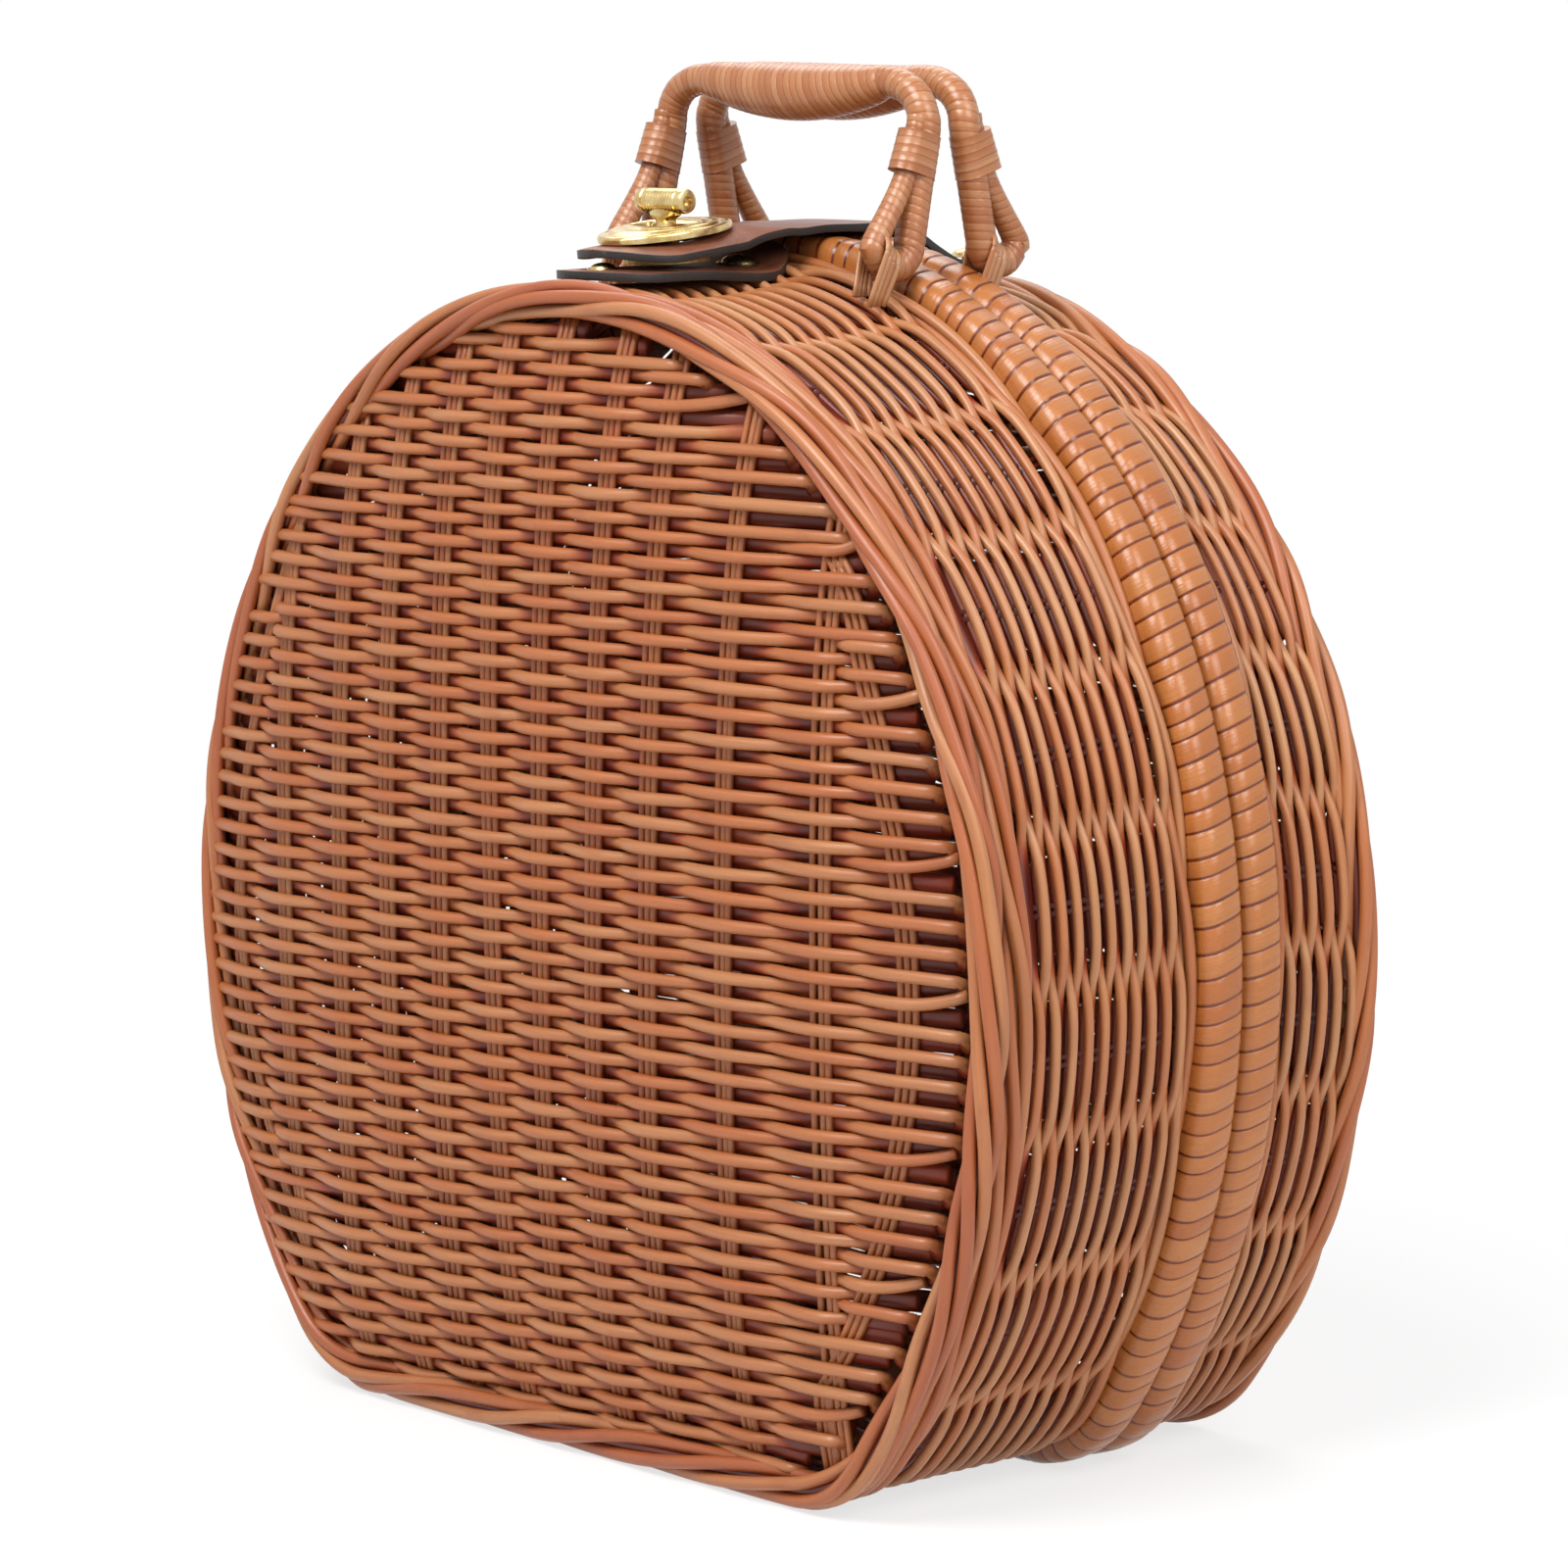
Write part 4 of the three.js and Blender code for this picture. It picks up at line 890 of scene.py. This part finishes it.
# underside of the strap, as depth from the seam and height: up from the lid's border, over the rims, to the lock
def strapLine():
    tilt = tan(lockTilt + strap["lean"])
    lowAt = lambda d: lockPlace[2] + strap["low"] / cos(lockTilt) - (d - strap["lockDepth"]) * tilt
    over, borderLow = rimEdge[1] + strap["clear"], case["top"] + strap["clear"]
    knots = [(-50.5, borderLow), (-43, borderLow), (-36, borderLow + 0.9), (-28, borderLow + 4.6), (-19, over - 1.4),
             (-12, over), (0, over), (11, over), (20, over - 0.6)]
    knots += [(d, lowAt(d)) for d in (31.5, 38, 44, 50.5, 57, 63, 69, strap["tip"])]
    return smoothLine(knots, 10)


def buildStrap():
    line = strapLine()
    along = unit(np.gradient(line, axis=0))
    lift = along[:, ::-1] * [-1, 1] * strap["thickness"]
    half = strap["width"] / 2
    cut = [strap["lockDepth"] - strap["slotY"], strap["lockDepth"] + strap["slotY"]]
    roundFrom = strap["tip"] - half
    stations = np.concatenate([np.linspace(-strap["reach"], cut[0], 60), np.linspace(*cut, 8)[1:],
                               np.linspace(cut[1], roundFrom, 8)[1:],
                               roundFrom + half * np.sin(np.linspace(0, pi / 2 * 0.985, 14)[1:])])
    side = [0.3, strap["slotX"] / half, 0.7, 0.85, 0.97, 1]
    across = np.array([-v for v in side[::-1]] + [0] + side)
    pick = lambda d, values: np.interp(d, line[:, 0], values)
    low, top = [], []
    for d in stations:
        x = across * (half if d <= roundFrom else sqrt(max(half**2 - (d - roundFrom) ** 2, 0)))
        bow = strap["bow"] * np.clip((d - strap["bowFrom"]) / strap["bowOver"], 0, 1) * np.abs(x / half) ** 2.5
        z = pick(d, line[:, 1]) - bow
        puff = strap["puff"] * (1 - np.abs(across) ** 4)
        flat = np.zeros(len(x))
        low.append(inCase(halves["base"], x, d + flat, z))
        top.append(inCase(halves["base"], x, d + pick(d, lift[:, 0]) + flat, z + pick(d, lift[:, 1]) + puff))
    mask = np.ones((len(stations) - 1, len(across) - 1), bool)
    inSlot = (stations[:-1] > cut[0] - 0.01) & (stations[1:] < cut[1] + 0.01)
    mask[inSlot, 4:8] = False  # the slot for the knob, between the two edges at slotX
    piece = leatherSlab("leatherStrap", np.array(low), np.array(top), mask, strap["rounding"])
    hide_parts("strap_anchor", "strap_flap")
    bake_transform(piece)
    print("made strap", len(piece.data.polygons), "faces")


def patchSag(y):
    return np.interp(y, *np.transpose(patch["sag"]))


def patchRoll(x, y):
    return patch["roll"] * x * np.clip(y / patch["rollOver"], 0, 1)


def buildPatch():
    wide = patch["width"] / 2
    turn = np.linspace(0.06, pi / 2, 10)
    front, rear = -patch["front"] + wide, patch["rear"] - wide
    ys = np.concatenate([front - wide * np.cos(turn), np.linspace(front, rear, 12)[1:-1],
                         rear + wide * np.cos(turn)[::-1]])
    across = np.linspace(-1, 1, 17)
    top = []
    for y in ys:
        over = max(front - y, y - rear, 0)
        x = across * sqrt(max(wide**2 - over**2, 0.01))
        sag = patchSag(y) - patch["droop"] * (np.abs(x) / wide) ** 3 * (1 + 0.12 * np.sin(y / 6)) - patchRoll(x, y)
        top.append(np.stack([x, np.full(len(x), y), sag], 1))
    top = np.array(top)
    mask = np.ones((len(ys) - 1, len(across) - 1), bool)
    low = top - [0, 0, patch["thickness"]]
    piece = leatherSlab("leatherPatch", onPatch(low), onPatch(top), mask, patch["rounding"])
    settle(piece, "base", "leather", "clasp_patch")


buildStrap()
buildPatch()


# rings of points about an upright, each with its half length, half width and height
def rings(levels, sides):
    angle = fullTurn(sides)
    return np.array([np.stack([a * np.cos(angle), b * np.sin(angle), 0 * angle + z], 1) for a, b, z in levels])


rivet = dict(flange=5.6, dome=4.3, height=2.3, frontSize=0.72, frontBack=2.5, rearSide=5.0, rearBack=4.7, sides=40)


# a flange with a groove and a dome, spun about its upright
def rivetGrid():
    flange, dome = rivet["flange"], rivet["dome"]
    profile = [(1.7, -2.0), (1.7, 0.02), (flange - 0.2, 0.02), (flange, 0.2), (flange - 0.25, 0.5), (dome + 0.5, 0.55),
               (dome + 0.1, 0.4)]
    for t in np.linspace(0.1, 0.97, 8) * pi / 2:
        profile.append((dome * cos(t), 0.4 + (rivet["height"] - 0.4) * sin(t)))
    return rings([(r, r, z) for r, z in profile], rivet["sides"])


def buildRivets():
    frontY = rivet["frontBack"] - patch["rivetAt"]
    rearY = patch["rivetAt"] - rivet["rearBack"]
    for word, x, y, size in (("front", 0, frontY, rivet["frontSize"]), ("rear", rivet["rearSide"], rearY, 1)):
        bundle = newBundle(81)
        grid = rivetGrid() * size
        grid[..., 2] -= patchRoll(grid[..., 0] + x, y)
        addSkin(bundle, onPatch(grid + [x, y, patchSag(y)]))
        finishBundle(bundle, "patchRivet" + word.title(), [paleBrass], "base", "brass", "patch_rivet_" + word, sharp=40)
    for word in hands:
        low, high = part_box("anchor_rivet_" + word)
        centre = [(low.x + high.x) / 2 / mm, (low.y + high.y) / 2 / mm, high.z / mm - rivet["height"] - 0.1]
        bundle = newBundle(82)
        addSkin(bundle, rivetGrid() + centre)
        finishBundle(bundle, "anchorRivet" + word.title(), [paleBrass], "lid", "brass", "anchor_rivet_" + word,
                     sharp=40)


plate = dict(width=27, length=38, low=6.9, thickness=2.1, slotX=8.65, slotY=3.65, slotPower=6, sides=72)


# an oval plate with a raised rim, steps and a domed middle round its slot
def buildPlate():
    angle, power = fullTurn(plate["sides"]), plate["slotPower"]
    across, along = np.cos(angle), np.sin(angle)
    oval = np.stack([across * plate["width"] / 2, along * plate["length"] / 2], 1)
    reach = (np.abs(across) ** power + np.abs(along) ** power) ** (-1 / power)
    slot = np.stack([reach * across * plate["slotX"], reach * along * plate["slotY"]], 1)
    # share of the way from the rim to the slot, and height over the plate's own
    steps = [(0.0, -plate["thickness"]), (-0.01, -0.9), (0.02, -0.4), (0.07, -0.2), (0.16, -0.15), (0.2, -0.4),
             (0.24, -0.4), (0.3, 0.25), (0.38, 0.5), (0.55, 0.55), (0.59, 0.35), (0.63, 0.35), (0.7, 0.75), (0.86, 0.8),
             (0.95, 0.5), (1.0, 0.1), (1.0, -plate["thickness"])]
    high = plate["low"] + plate["thickness"]
    grid = [np.insert(oval * (1 - share) + slot * share, 2, high + rise, axis=1) for share, rise in steps]
    bundle = newBundle(83)
    addSkin(bundle, onPatch(grid, strap["lean"]), closedAlong=True)
    finishBundle(bundle, "strapPlate", [paleBrass], "strap", "brass", "strap_plate", sharp=45)


knob = dict(barrel=3.1, length=16.9, height=15.2, foot=7.9, stemLow=4.4, stem=1.1, rings=11, ringDepth=0.16, plain=2.6,
            neckSink=1.6, sides=32)


# a barrel with fine rings and a dimple in each end, on a bow-shaped neck
def buildKnob():
    half, r = knob["length"] / 2, knob["barrel"]
    # each end: way in from the end, and radius
    end = [(1.2, 0.01), (1.2, 1.1), (0.05, 1.25), (0, r - 0.7), (0.25, r - 0.2), (0.8, r), (2.0, r), (2.15, r - 0.3),
           (2.45, r - 0.3)]
    barrel = np.linspace(-half + knob["plain"], half - knob["plain"], knob["rings"] * 4 + 1)
    ringed = r - knob["ringDepth"] * (np.arange(len(barrel)) % 4 < 2)
    profile = [(inwards - half, radius) for inwards, radius in end] + list(zip(barrel, ringed))
    profile += [(half - inwards, radius) for inwards, radius in end[::-1]]
    lying = np.roll(rings([(radius, radius, x) for x, radius in profile], knob["sides"]), 1, -1)
    bundle = newBundle(84)
    addSkin(bundle, onPatch(lying + [0, 0, knob["height"]]))
    # the neck: half length, half width and height over its foot
    stem, foot, top = knob["stem"], knob["foot"], knob["height"] - knob["neckSink"]
    levels = [(stem, stem, knob["stemLow"] - foot), (stem, stem, 0), (2.8, 2.3, 0), (3.0, 2.5, 0.5), (3.0, 2.3, 1.0),
              (3.0, 2.2, 1.8), (3.0, 2.2, 2.6), (3.8, 2.3, 3.1), (5.2, 2.4, 3.8), (5.6, 2.4, top - foot)]
    addSkin(bundle, onPatch(rings(levels, knob["sides"]) + [0, 0, foot]))
    finishBundle(bundle, "turnKnob", [paleBrass], "turn_knob", "brass", "turn_knob", sharp=38)


buildRivets()
buildPlate()
buildKnob()
for name, node in frame["nodes"].items():
    if name.startswith("hinge_") or name == "lock_base":
        node.data.materials.clear()
        node.data.materials.append(dullBrass)
print("brass made")

# floor, light and camera; each lamp has a name, azimuth, elevation, distance, size and power
stage = dict(floorSize=9.0, sink=1.3, slack=0.01, floorColour=0.9, whiteShare=0.72, whiteFrom=0.2, whiteTo=0.75,
             world=0.36, aim=(0.0, 0.0195, 0.150), azimuth=46.51, elevation=7.85, distance=1.5284, lens=136.2,
             sensor=36, shiftX=-0.0199, shiftY=0.0275, lightAim=(0, 0.02, 0.14),
             lamps=[("keyLight", 12, 55, 1.5, 0.8, 20), ("fillLight", 90, 42, 1.6, 0.9, 12),
                    ("backLight", 230, 55, 1.6, 1.0, 7)])
white = (1, 1, 1, 1)


# 1 for what the camera and shiny surfaces see
def seenDirectly(tree):
    path = addNode(tree, "ShaderNodeLightPath").outputs
    return addMath(tree, "MAXIMUM", path["Is Camera Ray"], path["Is Glossy Ray"])


def floorMaterial():
    material, tree, shader = startMaterial("paleFloor")
    place = objectPlace(tree)
    grey, pale = ((c, c, c, 1) for c in (stage["floorColour"], stage["floorColour"] + 0.02))
    setInputs(tree, shader, {"Base Color": ramp(tree, noise(tree, place, (3, 3, 3), 2.0), (0.3, grey), (0.7, pale)),
                             "Roughness": 0.9, "Specular IOR Level": 0.1})
    glow = addNode(tree, "ShaderNodeEmission", {"Color": white, "Strength": 1.0})
    away = addNode(tree, "ShaderNodeVectorMath", {0: place}, operation="LENGTH").outputs["Value"]
    fade = addNode(tree, "ShaderNodeMapRange", {"Value": away, "From Min": stage["whiteFrom"],
                                                "From Max": stage["whiteTo"], "To Min": stage["whiteShare"]})
    share = addMath(tree, "MULTIPLY", seenDirectly(tree), fade.outputs[0])  # fully white away from the case
    mix = addNode(tree, "ShaderNodeMixShader", {"Fac": share, 1: shader.outputs[0], 2: glow.outputs[0]})
    setInputs(tree, tree.nodes["Material Output"], {"Surface": mix.outputs[0]})
    return material


# the standing case opens past its own feet, so the floor gives way under the lid
def sinkFloor(floor, lid):
    tree = bpy.data.node_groups.new("sinkingFloor", "GeometryNodeTree")
    for way in ("INPUT", "OUTPUT"):
        tree.interface.new_socket("Geometry", in_out=way, socket_type="NodeSocketGeometry")
    seen = addNode(tree, "GeometryNodeObjectInfo", {"Object": lid}, transform_space="RELATIVE")
    box = addNode(tree, "GeometryNodeBoundBox", {0: seen.outputs["Geometry"]})
    lowest = addNode(tree, "ShaderNodeSeparateXYZ", {0: box.outputs["Min"]}).outputs["Z"]
    drop = addMath(tree, "MULTIPLY_ADD", lowest, stage["sink"], stage["slack"])
    offset = addNode(tree, "ShaderNodeCombineXYZ", {"Z": addMath(tree, "MINIMUM", drop, 0)})
    start = addNode(tree, "NodeGroupInput")
    move = addNode(tree, "GeometryNodeSetPosition", {"Geometry": start.outputs[0], "Offset": offset.outputs[0]})
    addNode(tree, "NodeGroupOutput", {0: move.outputs[0]})
    floor.modifiers.new("sink", "NODES").node_group = tree


def lookFrom(azimuth, elevation, distance):
    a, e = radians(azimuth), radians(elevation)
    return distance * np.array([sin(a) * cos(e), -cos(a) * cos(e), sin(e)])


def buildStage():
    bpy.ops.mesh.primitive_plane_add(size=stage["floorSize"], location=(0, 0, 0))
    floor = bpy.context.object
    floor.name = "floor"
    floor.data.materials.append(floorMaterial())
    sinkFloor(floor, bpy.data.objects["lidWovenPanel"])

    world = bpy.data.worlds.new("studio")
    bpy.context.scene.world = world
    world.use_nodes = True
    tree = world.node_tree
    soft = tree.nodes["Background"]
    setInputs(tree, soft, {"Color": white, "Strength": stage["world"]})
    bright = addNode(tree, "ShaderNodeBackground", {"Color": white, "Strength": 1.0})
    mix = addNode(tree, "ShaderNodeMixShader", {"Fac": seenDirectly(tree), 1: soft.outputs[0], 2: bright.outputs[0]})
    setInputs(tree, tree.nodes["World Output"], {"Surface": mix.outputs[0]})

    camera = addToScene("camera", bpy.data.cameras.new("camera"))
    camera.location = np.array(stage["aim"]) + lookFrom(stage["azimuth"], stage["elevation"], stage["distance"])
    camera.rotation_euler = (pi / 2 - radians(stage["elevation"]), 0, radians(stage["azimuth"]))
    camera.data.lens = stage["lens"]
    camera.data.sensor_width = stage["sensor"]
    camera.data.shift_x, camera.data.shift_y = stage["shiftX"], stage["shiftY"]
    camera.data.clip_start = 0.05
    bpy.context.scene.camera = camera

    aim = addToScene("lightAim", None)
    aim.location = stage["lightAim"]
    for name, azimuth, elevation, distance, size, power in stage["lamps"]:
        light = bpy.data.lights.new(name, "AREA")
        light.shape = "DISK"
        light.size = size
        light.energy = power
        lamp = addToScene(name, light)
        lamp.location = lookFrom(azimuth, elevation, distance)
        track = lamp.constraints.new("TRACK_TO")
        track.target = aim
        track.track_axis, track.up_axis = "TRACK_NEGATIVE_Z", "UP_Y"


buildStage()
bpy.context.scene.view_settings.view_transform = "Standard"
print("stage made")
